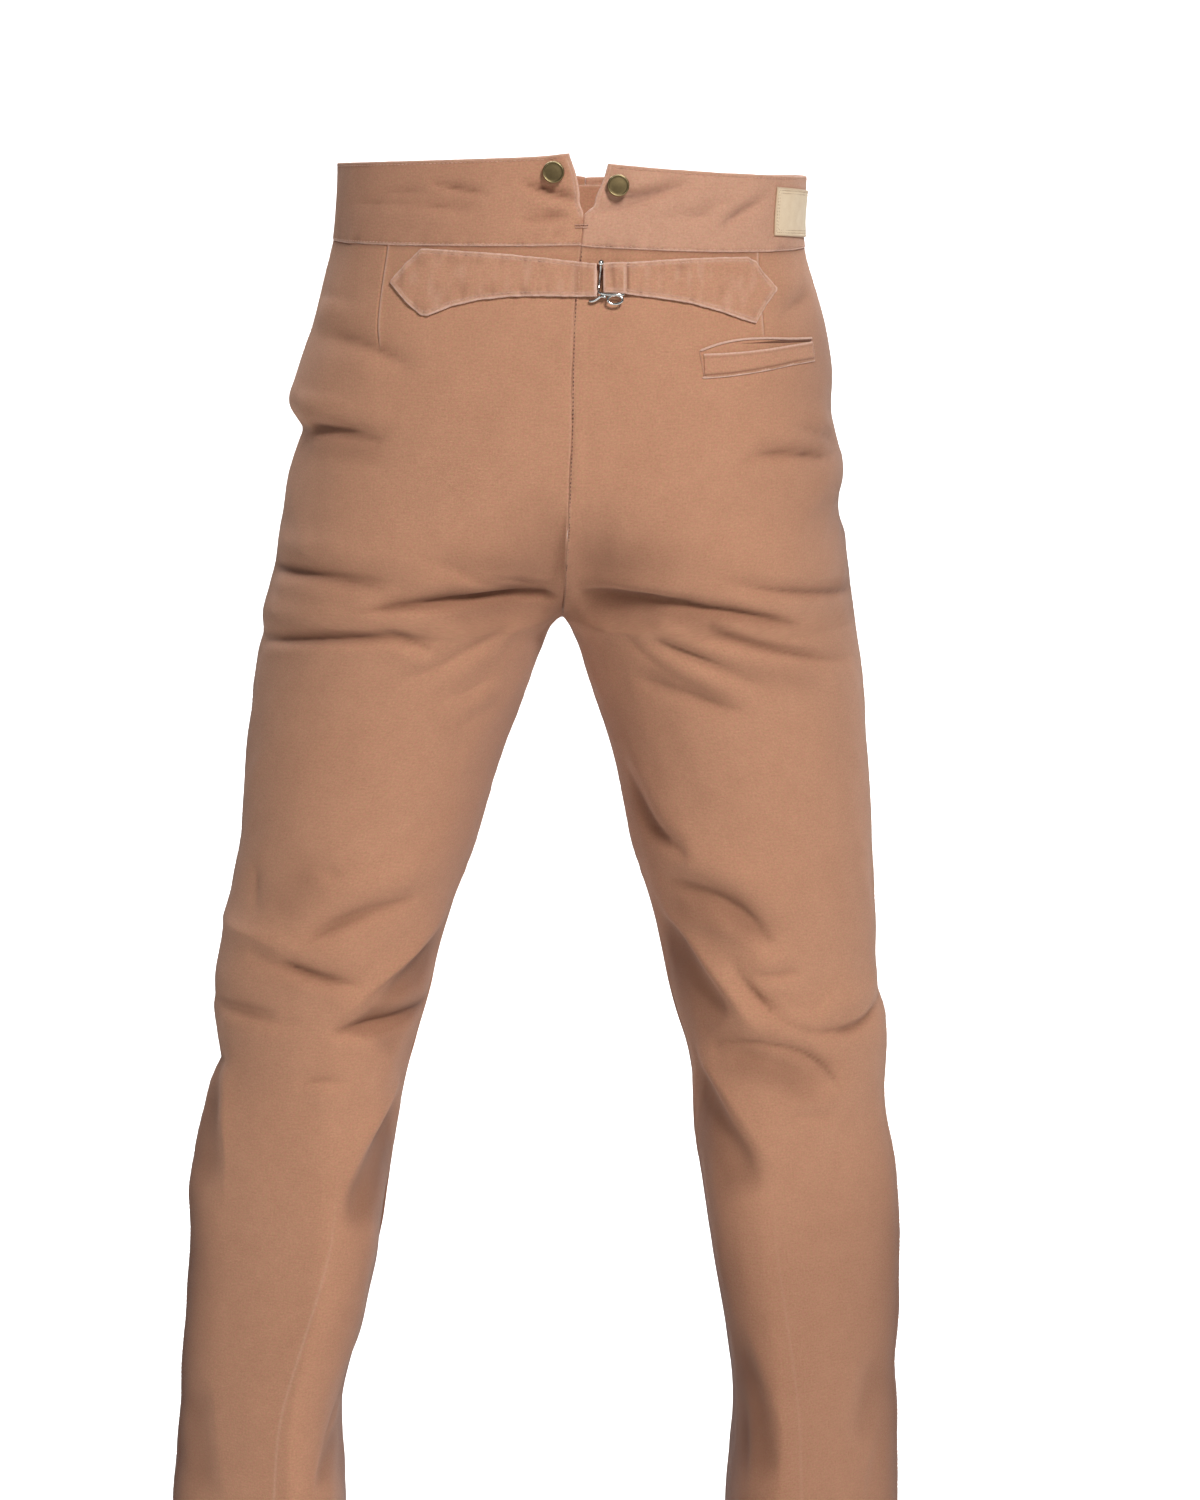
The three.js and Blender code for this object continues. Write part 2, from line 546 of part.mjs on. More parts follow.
/** A back or front panel: its outer grid with the folds in it, and its wall. */
function panel(side, front) {
  const heights = rowHeights(front ? FRONT_ROWS : BACK_ROWS);
  const columns = front ? FRONT_COLUMNS : BACK_COLUMNS;
  const us = Array.from({ length: columns + 1 }, (_, j) => (front ? 2 - j / columns : j / columns));
  const read = us.map((u, j) => (front && j === columns ? 1 + JUST_FRONT : u));
  const outer = heights.map((row) => read.map((u, j) => {
    const z = rowZ(side, row, u) - (row === BAND_SEAM_Z ? SEAM_GAP : 0);
    const point = bodyPoint(side, u, z);
    point.addScaledVector(outward(side, u, z), folds(side, u, z));
    return holdAtSeams(point, side, front, j % columns === 0);
  }));
  const normals = gridNormals(outer, (i, j) => outward(side, read[j], outer[i][j].z));
  const inner = outer.map((row, i) => row.map((point, j) => {
    const sunk = point.clone().addScaledVector(normals[i][j], -CANVAS);
    if (i === 0) sunk.z = point.z;
    if (i === outer.length - 1) sunk.z = HEM_Z;
    return holdAtSeams(sunk, side, front, j % columns === 0);
  }));
  return { side, us, heights, outer, normals, geometry: wall(outer, inner) };
}

/** u of the back at a distance x across, above the seat. */
function uAcross(side, x, z) {
  const inner = innerX(side, z);
  const share = THREE.MathUtils.clamp((x - inner) / (sideX(side, z) - inner), 0, 1);
  return Math.acos(1 - 2 * share) / Math.PI;
}

/** Where a value lies in a rising list, as a broken index. */
function indexIn(list, value) {
  let i = 0;
  while (i < list.length - 2 && list[i + 1] < value) i += 1;
  return i + THREE.MathUtils.clamp((value - list[i]) / (list[i + 1] - list[i]), 0, 1);
}

/** The entry of a list of numbers, or of equal lists of numbers, at a broken index. */
function between(list, index) {
  const i = Math.min(Math.floor(index), list.length - 2);
  const mix = (a, b) => a + (b - a) * (index - i);
  if (Array.isArray(list[i])) return list[i].map((value, k) => mix(value, list[i + 1][k]));
  return mix(list[i], list[i + 1]);
}

/** A point on the facets of a piece's outer grid, lifted off it. */
function lifted(grid, normals, i, j, lift) {
  const i0 = Math.min(Math.floor(i), grid.length - 2);
  const j0 = Math.min(Math.floor(j), grid[0].length - 2);
  const [a, b] = [i - i0, j - j0];
  const mix = (g) => {
    const top = g[i0][j0].clone().lerp(g[i0][j0 + 1], b);
    return top.lerp(g[i0 + 1][j0].clone().lerp(g[i0 + 1][j0 + 1], b), a);
  };
  return mix(grid).addScaledVector(mix(normals).normalize(), lift);
}

/** A point on a back panel at u and z, lifted off it. */
function onBack(piece, u, z, lift) {
  const depths = piece.heights.map((row) => -rowZ(piece.side, row, u));
  return lifted(piece.outer, piece.normals, indexIn(depths, -z), u * BACK_COLUMNS, lift);
}

/** A point on the two backs at x and z, lifted off them. */
function onBacks(backs, x, z, lift) {
  const side = x >= centreX(z) ? 1 : -1;
  return onBack(backs[side], uAcross(side, x, z), z, lift);
}

// ---- Pieces ----------------------------------------------------------------------------------
const backs = { 1: panel(1, false), [-1]: panel(-1, false) };
const fronts = { 1: panel(1, true), [-1]: panel(-1, true) };

/** Half of the waistband, from the notch at the back to the centre front. */
function waistband(side) {
  const notch = side > 0 ? 'left' : 'right';
  const table = bandTable(side);
  const outer = BAND_ROWS.map((share) => {
    const height = (u) => {
      const seam = smooth(table, 'u', 'seam', u);
      return seam + (smooth(table, 'u', 'top', u) - seam) * share;
    };
    const z0 = height(0);
    const start = uAcross(side, centreX(z0) + side * smooth(NOTCH, 'z', notch, z0), z0);
    return Array.from({ length: BAND_COLUMNS + 1 }, (_, j) => {
      const even = (2 * j) / BAND_COLUMNS;
      const u = even + start * Math.max(1 - even / NOTCH_REACH, 0) ** 2;
      const z = height(u);
      const point = bodyPoint(side, u, z);
      point.addScaledVector(outward(side, u, z), BAND_PROUD + folds(side, u, z));
      return { u, point };
    });
  });
  const grid = outer.map((row) => row.map(({ point }) => point));
  const normals = gridNormals(grid, (i, j) => outward(side, outer[i][j].u, grid[i][j].z));
  const inner = grid.map((row, i) => row.map((point, j) => {
    const sunk = point.clone().addScaledVector(normals[i][j], -BAND_CLOTH);
    if (i === 0) sunk.z = point.z;
    return holdAtSeams(sunk, side, false, false);
  }));
  grid.forEach((row) => row.forEach((point) => holdAtSeams(point, side, false, false)));
  const us = outer.map((row) => row.map((place) => place.u));
  return { us, grid, normals, geometry: wall(grid, inner) };
}
const bands = { 1: waistband(1), [-1]: waistband(-1) };

/** A point on a half of the band at u and z, lifted off it. */
function onBand(band, u, z, lift) {
  let row = 0;
  let column = 0;
  for (let pass = 0; pass < 4; pass += 1) {
    column = indexIn(between(band.us, row), u);
    const height = (line) => between(line.map((point) => point.z), column);
    row = indexIn(band.grid.map(height), z);
  }
  return lifted(band.grid, band.normals, row, column, lift);
}

/** A strap laid across the backs. */
function strap(table) {
  const layer = (extra) => table.map(({ x, top, bottom, lift }) => (
    Array.from({ length: STRAP_ROWS + 1 }, (_, k) => (
      onBacks(backs, x, top + ((bottom - top) * k) / STRAP_ROWS, lift + extra)))));
  return wall(layer(STRAP_CLOTH), layer(0));
}

/** A flat piece sewn on a panel or a band between two values of u, bent where the cloth bends. */
function laidOn(place, shape, bends) {
  const { from, to, top, bottom, thick } = shape;
  const us = [from, ...bends.filter((u) => u > from + SHORTEST_U && u < to - SHORTEST_U), to];
  const layer = (lift) => us.map((u) => {
    const share = (u - from) / (to - from);
    const high = top[0] + (top[1] - top[0]) * share;
    const low = bottom[0] + (bottom[1] - bottom[0]) * share;
    return [high, (2 * high + low) / 3, (high + 2 * low) / 3, low].map((z) => place(u, z, lift));
  });
  return wall(layer(LAID_LIFT + thick), layer(LAID_LIFT));
}

/** The strip of cloth behind the closed fly. */
function underlap() {
  const layer = (inside) => Array.from({ length: UNDERLAP_ROWS + 1 }, (_, i) => {
    const z = UNDERLAP.top + ((UNDERLAP.bottom - UNDERLAP.top) * i) / UNDERLAP_ROWS;
    return Array.from({ length: UNDERLAP_COLUMNS + 1 }, (_unused, j) => {
      const off = UNDERLAP.left + ((UNDERLAP.right - UNDERLAP.left) * j) / UNDERLAP_COLUMNS;
      const side = off >= 0 ? 1 : -1;
      const u = 2 - uAcross(side, centreX(z) + off, z);
      const front = bodyPoint(side, u, z);
      return new THREE.Vector3(centreX(z) + off, front.y + inside, z);
    });
  });
  return wall(layer(UNDERLAP.inside), layer(UNDERLAP.inside + UNDERLAP.thick));
}

/** A closed loop of wire, flat on the backs, with rounded corners. */
function wireLoop({ left, right, top, bottom, corner, lift }) {
  const spots = [];
  const arc = (x, z, start) => {
    for (let k = 0; k <= CORNER_STEPS; k += 1) {
      const angle = start + (Math.PI / 2) * (k / CORNER_STEPS);
      spots.push({ x: x + corner * Math.cos(angle), z: z + corner * Math.sin(angle) });
    }
  };
  arc(left - corner, top - corner, 0);
  arc(right + corner, top - corner, Math.PI / 2);
  arc(right + corner, bottom + corner, Math.PI);
  arc(left - corner, bottom + corner, (3 * Math.PI) / 2);
  const path = spots.map(({ x, z }) => onBacks(backs, x, z, lift));
  const away = spots.map(({ x, z }, k) => onBacks(backs, x, z, lift + 1).sub(path[k]));
  const points = path.flatMap((point, k) => {
    const next = path[(k + 1) % path.length];
    const before = path[(k + path.length - 1) % path.length];
    const along = next.clone().sub(before).normalize();
    const across = away[k].clone().cross(along).normalize();
    const up = along.clone().cross(across);
    return Array.from({ length: WIRE_SIDES }, (_, n) => {
      const angle = (2 * Math.PI * n) / WIRE_SIDES;
      const spoke = across.clone().multiplyScalar(Math.cos(angle)).addScaledVector(up, Math.sin(angle));
      return point.clone().addScaledVector(spoke, BUCKLE_WIRE / 2);
    });
  });
  const index = path.flatMap((_, k) => Array.from({ length: WIRE_SIDES }, (_unused, n) => {
    const ring = k * WIRE_SIDES;
    const nextRing = ((k + 1) % path.length) * WIRE_SIDES;
    const m = (n + 1) % WIRE_SIDES;
    return [ring + n, ring + m, nextRing + m, ring + n, nextRing + m, nextRing + n];
  })).flat();
  return closedBody(points, index);
}

/** A button on the band: where it stands and which way it faces. */
function buttonPlace({ x, z, front }) {
  const side = x >= centreX(z) ? 1 : -1;
  const across = uAcross(side, x, z);
  const u = front ? 2 - across : across;
  const foot = onBand(bands[side], u, z, SEAM_GAP);
  const head = onBand(bands[side], u, z, SEAM_GAP + 1);
  return { foot, axis: head.sub(foot).normalize() };
}

const BUTTON_PROFILE = [
  [0, 0],
  [BUTTON_POST / 2, 0],
  [BUTTON_POST / 2, BUTTON_POST_LENGTH],
  [BUTTON_CAP / 2 - BUTTON_ROUND, BUTTON_POST_LENGTH],
  [BUTTON_CAP / 2, BUTTON_POST_LENGTH + BUTTON_ROUND],
  [BUTTON_CAP / 2, BUTTON_POST_LENGTH + BUTTON_CAP_DEPTH - BUTTON_ROUND],
  [BUTTON_CAP / 2 - BUTTON_ROUND, BUTTON_POST_LENGTH + BUTTON_CAP_DEPTH],
  [BUTTON_FLAT / 2, BUTTON_POST_LENGTH + BUTTON_CAP_DEPTH - BUTTON_RIM],
  [0, BUTTON_POST_LENGTH + BUTTON_CAP_DEPTH - BUTTON_RIM],
].map(([radius, height]) => new THREE.Vector2(radius, height));

// ---- The trousers ----------------------------------------------------------------------------
const trousers = new THREE.Group();

function add(name, geometry, material) {
  const mesh = new THREE.Mesh(geometry, material);
  mesh.name = name;
  trousers.add(mesh);
  return mesh;
}

add('back_left', backs[1].geometry, canvas);
add('back_right', backs[-1].geometry, canvas);
add('front_left', fronts[1].geometry, canvas);
add('front_right', fronts[-1].geometry, canvas);
add('waistband_left', bands[1].geometry, canvasDark);
add('waistband_right', bands[-1].geometry, canvasDark);
add('fly_underlap', underlap(), canvasDark);
add('cinch_strap_left', strap(LEFT_STRAP), canvasDark);
add('cinch_strap_right', strap(RIGHT_STRAP), canvasDark);
add('cinch_buckle', wireLoop(BUCKLE), nickel);
add('cinch_buckle_loop', wireLoop(BUCKLE_LOOP), nickel);
const onRightBack = (u, z, lift) => onBack(backs[-1], u, z, lift);
add('pocket_welt', laidOn(onRightBack, WELT, backs[-1].us), canvasDark);
const onRightBand = (u, z, lift) => onBand(bands[-1], u, z, lift);
add('patch', laidOn(onRightBand, PATCH, bands[-1].us[0]), patchHide);
for (const button of BUTTONS) {
  const { foot, axis } = buttonPlace(button);
  const mesh = add(button.name, new THREE.LatheGeometry(BUTTON_PROFILE, BUTTON_SIDES), brass);
  mesh.position.copy(foot);
  mesh.quaternion.setFromUnitVectors(new THREE.Vector3(0, 1, 0), axis);
}

export default trousers;
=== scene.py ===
import functools
import math

import bpy
import numpy as np
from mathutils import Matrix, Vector


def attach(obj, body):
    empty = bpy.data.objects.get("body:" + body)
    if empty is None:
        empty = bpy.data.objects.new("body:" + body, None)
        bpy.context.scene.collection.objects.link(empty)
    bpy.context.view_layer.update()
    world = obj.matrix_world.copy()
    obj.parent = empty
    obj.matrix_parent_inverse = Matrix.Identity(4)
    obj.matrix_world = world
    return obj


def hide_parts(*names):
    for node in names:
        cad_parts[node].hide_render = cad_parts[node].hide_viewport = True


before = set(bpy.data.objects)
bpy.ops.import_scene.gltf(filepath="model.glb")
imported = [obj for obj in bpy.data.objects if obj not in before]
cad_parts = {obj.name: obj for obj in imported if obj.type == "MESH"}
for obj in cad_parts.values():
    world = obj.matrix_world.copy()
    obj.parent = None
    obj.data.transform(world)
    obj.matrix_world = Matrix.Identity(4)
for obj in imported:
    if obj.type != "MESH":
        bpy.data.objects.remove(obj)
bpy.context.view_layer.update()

MM = 0.001
LEFT, RIGHT = 1, -1

# ---- Driving sizes ------------------------------------------------------------------------------
CANVAS = 1.8            # one layer of canvas with its allowances pressed in
BAND_CLOTH = 2.4        # the folded waistband
STRAP_CLOTH = 2.0       # two layers
SEAM_GAP = 0.06         # between two sewn pieces
BAND_SEAM_Z = -41
LEVEL_Z = -120          # above this the rows of a panel bend to follow the band seam
CROTCH_Z = -308
SEAT_RISE = 110         # above the crotch, where the two legs grow together
HEM_Z = -1110
SEAT_FOLD = 0.28        # how far out from the centre seam the round of the seat goes, as u
WAIST_ROUNDNESS = 2.35  # 2 is an ellipse, more is squarer
HIP_GIRTH = 0.82        # a quarter of the hips' girth over their half width and half depth
CREASE_BLUNT = 0.04     # rounding of a pressed crease, as a part of the leg's half width
SIDE_SEAM_LEAN = 6      # the side seam and inseam move forwards this much down to the hem
JUST_FRONT = 1e-6       # u this much over 1 is the front's own edge of the side seam
BAND_PROUD = 0.8        # the band stands this much outside the panels
NOTCH_BOTTOM_Z = -19.5


class Table:
    """Rows of named columns, read as smooth curves of the first column."""

    def __init__(self, names, rows):
        self.names = names.split()
        values = np.array(rows, float)
        self.values = values[::-1] if values[-1, 0] < values[0, 0] else values

    def at(self, column, where):
        x = self.values[:, 0]
        y = self.values[:, self.names.index(column)]
        q = np.clip(np.asarray(where, float), x[0], x[-1])
        i = np.clip(np.searchsorted(x, q, side="right") - 1, 0, len(x) - 2)
        step = np.diff(x)
        slope = np.diff(y) / step
        inner = (slope[:-1] * step[1:] + slope[1:] * step[:-1]) / (step[1:] + step[:-1])
        tangent = np.concatenate([slope[:1], inner, slope[-1:]]) if len(x) > 2 else slope.repeat(2)
        t = (q - x[i]) / step[i]
        a = y[i] * (1 + 2 * t) * (1 - t) ** 2 + tangent[i] * step[i] * t * (1 - t) ** 2
        b = y[i + 1] * t * t * (3 - 2 * t) - tangent[i + 1] * step[i] * t * t * (1 - t)
        return a + b


# How far the cloth reaches at a height, and where its pressed creases stand.
DEPTHS = Table("z back front turn crease", [
    (60, 110, -117, 0, 0), (0, 115, -118, 0, 0), (-50, 122, -119, 0, 0), (-100, 131, -119.5, 0, 0),
    (-150, 138, -119, 0, 0), (-200, 141, -118, 0, 0), (-250, 138, -115, 0, 0),
    (-300, 128, -112, 0, 0), (-350, 114, -108, -0.02, 0), (-420, 101, -104, -0.04, 0),
    (-500, 90, -101, -0.09, 0.03), (-600, 79, -98, -0.18, 0.06), (-680, 74, -95, -0.33, 0.13),
    (-760, 73, -89, -0.46, 0.2), (-860, 75, -85, -0.46, 0.27), (-960, 77, -83, -0.43, 0.3),
    (-1110, 79, -82, -0.4, 0.32)])
CENTRE = Table("z x", [(60, -9), (-30, -8), (-76, -3), (-176, 0), (-293, 6), (-308, 7.3)])
SIDE_SEAM = {
    LEFT: Table("z x", [
        (60, 160), (0, 162), (-45, 166), (-75, 172.5), (-105, 181), (-150, 194.5), (-180, 192),
        (-210, 199), (-255, 206), (-308, 217.3), (-350, 224.4), (-410, 231.7), (-470, 236.8),
        (-530, 249.1), (-590, 257.9), (-630, 256), (-670, 268.5), (-710, 276.4), (-770, 278.1),
        (-830, 282.7), (-900, 288.8), (-965, 293.7), (-1110, 302)]),
    RIGHT: Table("z x", [
        (60, -161), (0, -162), (-45, -161), (-75, -168), (-105, -177), (-135, -181.5),
        (-165, -181), (-210, -190.3), (-228, -187), (-255, -191.8), (-308, -199), (-350, -204.8),
        (-410, -209.7), (-530, -216.6), (-575, -218.5), (-595, -223.8), (-670, -225.6),
        (-710, -233.1), (-750, -236.4), (-810, -237.1), (-860, -235), (-905, -236.9),
        (-1110, -236.5)])}
INSEAM = {
    LEFT: Table("z x", [
        (-308, 7.3), (-315, 14), (-330, 20.8), (-350, 27.9), (-410, 50.2), (-470, 68.2),
        (-530, 89.5), (-590, 104.8), (-640, 119), (-710, 131), (-770, 140.8), (-830, 153.8),
        (-875, 167), (-965, 167), (-1110, 176)]),
    RIGHT: Table("z x", [
        (-308, 7.3), (-315, 2.5), (-330, -4), (-350, -10.4), (-410, -29.6), (-470, -42),
        (-530, -60), (-575, -68), (-630, -83.7), (-700, -89.5), (-750, -97.2), (-810, -107.6),
        (-870, -116), (-965, -112), (-1110, -110)])}

# The top edge and the lower seam of the waistband round one side, and how far the edges of the
# notch at the centre back stand off the centre seam.
BAND = {
    LEFT: Table("u top seam", [
        (0, 19, -41), (0.08, 20.5, -41), (0.3, 18, -41.5), (0.6, 14.5, -42.5), (1, 8, -45),
        (1.5, -3, -50), (2, -9, -53)]),
    RIGHT: Table("u top seam", [
        (0, 17, -41), (0.12, 15, -42), (0.3, 12, -43.5), (0.6, 6, -47), (1, -1, -50),
        (1.5, -7, -52), (2, -9, -53)])}
NOTCH = {
    LEFT: Table("z off", [(18, 10), (4, 5.4), (-7, 3.3), (-15, 2.6), (NOTCH_BOTTOM_Z, 0.1)]),
    RIGHT: Table("z off", [(18, 16), (4, 12), (-7, 7.6), (-15, 5.6), (NOTCH_BOTTOM_Z, 0.1)])}

# Folds and creases: a curve through three points of one side, the half width of the trough, its
# depth (a ridge where negative), the height of the swell on the left of the line, the depth of the
# thin line in the trough's middle, and where along the line it is strongest.
FOLD_COLUMNS = "u0 z0 u1 z1 u2 z2 width depth swell line peak"
FOLDS = {
    LEFT: [
        # seat and thigh
        (0.08, -287, 0.37, -281, 0.6, -288, 7, 4, 3.4, 1.6, 0.4),
        (0.08, -278, 0.37, -263, 0.52, -244, 9, 2, 1.5, 0.5, 0.4),
        (0.5, -276, 0.65, -266, 1, -272, 9, 3.5, 3, 1, 0.7),
        (0.39, -314, 0.62, -309, 1.05, -325, 9, 3.5, 3, 1, 0.6),
        (0.34, -321, 0.42, -331, 0.49, -339, 9, 2, 1, 0.5, 0.5),
        (0.54, -122, 0.72, -109, 1.02, -104, 11, 1.6, 1.2, 0, 0.4),
        (0.6, -176, 0.73, -170, 1.08, -180, 10, 3.6, 3.6, 1.8, 0.85),
        (0.14, -292, 0.42, -288, 0.85, -290, 22, 5, 2, 0, 0.4),
        (0.131, -368, 0.244, -367, 0.32, -373, 8, 1.2, 0.6, 0.2, 0.5),
        # knee and calf
        (0.66, -525, 0.76, -529, 1.05, -526, 10, -3, 0, 0, 0.6),
        (0.82, -478, 0.8, -498, 0.77, -517, 10, 2.5, 0, 0.4, 0.5),
        (0.24, -500, 0.49, -508, 0.63, -534, 11, 3.5, 2.5, 1, 0.5),
        (0.41, -561, 0.62, -550, 0.78, -545, 9, 3.5, 2, 1, 0.5),
        (0.66, -585, 0.77, -583, 1.05, -586, 10, 3, 1, 0.9, 0.6),
        (0.03, -592, 0.34, -593, 0.51, -595, 9, 5, 3.5, 1.6, 0.5),
        (0.12, -515, 0.25, -537, 0.46, -582, 14, -4, 0, 0, 0.5),
        (0.14, -642, 0.33, -670, 0.43, -708, 13, -3.5, 0, 0, 0.5),
        (0.91, -634, 0.83, -663, 0.78, -700, 11, -2.5, 0, 0, 0.4),
        (0.85, -626, 1, -632, 1.15, -632, 11, 3, 0, 0.6, 0.5),
        (0.16, -875, 0.3, -903, 0.4, -943, 10, 2.5, 0, 0.4, 0.3),
        (0.606, -639, 0.525, -630, 0.419, -633, 7, 1.2, 0.6, 0.4, 0.5),
        # band: the dents under the edge and the tucks above the seam
        (0.575, -9, 0.494, -13, 0.425, -17, 6, 1.8, 0.7, 0.8, 0.5),
        (0.344, 2, 0.2, -7, 0.113, -11, 5, 2.4, 1.1, 1, 0.5),
        (0.275, -20, 0.225, -21, 0.156, -23, 5, 1.8, 0.7, 1, 0.5),
        (0.219, -35, 0.205, -33, 0.19, -29, 3, 2.2, 0.5, 1.8, 0.3),
        (0.168, -37, 0.178, -33, 0.19, -28, 2.5, 1.8, 0.4, 1.8, 0.3),
    ],
    RIGHT: [
        # seat and thigh
        (0.13, -284, 0.45, -285, 0.73, -307, 7, 3.8, 3.4, 1.5, 0.4),
        (0.44, -304, 0.6, -313, 0.95, -338, 9, 2.5, 1.5, 0.8, 0.5),
        (0.34, -313, 0.47, -328, 0.63, -347, 9, 3, 2, 0.8, 0.5),
        (0.27, -338, 0.41, -349, 0.53, -362, 10, 3, 2, 0.7, 0.4),
        (0.12, -403, 0.21, -448, 0.34, -469, 14, 4.5, 2, 0.4, 0.5),
        (0.53, -272, 0.69, -277, 0.98, -286, 9, 2, 1.5, 0.4, 0.7),
        (0.16, -290, 0.45, -292, 0.85, -302, 22, 5, 2, 0, 0.45),
        (0.62, -184, 0.71, -183, 1, -193, 9, 2.5, 2, 0.6, 0.7),
        (0.713, -93, 0.8, -83, 0.894, -81, 6, 1.2, 0.8, 0.3, 0.5),
        # knee and calf
        (0.2, -494, 0.4, -500, 0.53, -532, 14, 4, 2.6, 0, 0.5),
        (0.14, -510, 0.34, -550, 0.49, -596, 13, -4, 0, 0, 0.5),
        (0.4, -537, 0.49, -567, 0.61, -585, 9, 4, 2, 1, 0.6),
        (0.61, -585, 0.73, -598, 1.05, -578, 9, 4, 3, 1.2, 0.5),
        (0.28, -614, 0.5, -616, 0.7, -644, 13, 4.5, 2.8, 0, 0.5),
        (0.16, -620, 0.35, -653, 0.57, -708, 13, -3.5, 0, 0, 0.5),
        (0.494, -553, 0.556, -553, 0.613, -551, 6, 1, 0.5, 0.3, 0.5),
        (0.575, -657, 0.644, -660, 0.706, -665, 6, 1.2, 0.6, 0.3, 0.5),
        # band
        (0.088, -19, 0.3, -13, 0.469, 1, 5, 2.8, 1.4, 1.4, 0.4),
        (0.45, -28, 0.55, -16, 0.631, -8, 7, 2.1, 0.9, 0.8, 0.5),
    ]}
FRONT_FOLDS = {
    LEFT: [
        (1.35, -238, 1.65, -262, 1.9, -284, 10, 3, 2, 0.6, 0.8),
        (1.3, -300, 1.65, -298, 1.97, -303, 10, 3, 2, 0.8, 0.8),
        (1.2, -548, 1.45, -560, 1.75, -552, 11, 3, 2, 0.8, 0.5),
        (1.3, -612, 1.55, -600, 1.8, -608, 11, 2.5, 2, 0.7, 0.5),
        (1.4, -1058, 1.6, -1066, 1.85, -1060, 12, 3, 2, 0.6, 0.5),
        (1.05, -90, 1.2, -104, 1.42, -126, 9, 1.2, 0.8, 0.2, 0.5),
        (1.55, -330, 1.75, -322, 1.93, -318, 7, 1.6, 0.8, 0.4, 0.6),
        (1.12, -585, 1.3, -582, 1.5, -588, 8, 1.5, 0.9, 0.4, 0.5),
        (1.5, -640, 1.68, -652, 1.85, -676, 12, -2, 0, 0, 0.5),
        (1.1, -24, 1.3, -19, 1.55, -25, 6, 1.6, 0.7, 0.8, 0.5),
        (1.6, -1020, 1.75, -1028, 1.9, -1046, 8, 1.4, 0.8, 0.3, 0.5),
    ],
    RIGHT: [
        (1.32, -232, 1.62, -258, 1.9, -282, 10, 3, 2, 0.6, 0.8),
        (1.25, -308, 1.6, -304, 1.97, -305, 10, 3, 2, 0.8, 0.8),
        (1.25, -556, 1.5, -546, 1.8, -556, 11, 3, 2, 0.8, 0.5),
        (1.2, -604, 1.5, -614, 1.75, -604, 11, 2.5, 2, 0.7, 0.5),
        (1.35, -1062, 1.6, -1054, 1.85, -1064, 12, 3, 2, 0.6, 0.5),
        (1.08, -98, 1.26, -108, 1.45, -134, 9, 1.2, 0.8, 0.2, 0.5),
        (1.52, -336, 1.74, -330, 1.94, -322, 7, 1.6, 0.8, 0.4, 0.6),
        (1.15, -578, 1.32, -586, 1.52, -580, 8, 1.5, 0.9, 0.4, 0.5),
        (1.48, -634, 1.66, -650, 1.86, -682, 12, -2, 0, 0, 0.5),
        (1.15, -30, 1.34, -26, 1.6, -32, 6, 1.6, 0.7, 0.8, 0.5),
        (1.55, -1034, 1.72, -1026, 1.88, -1018, 8, 1.4, 0.8, 0.3, 0.5),
    ]}
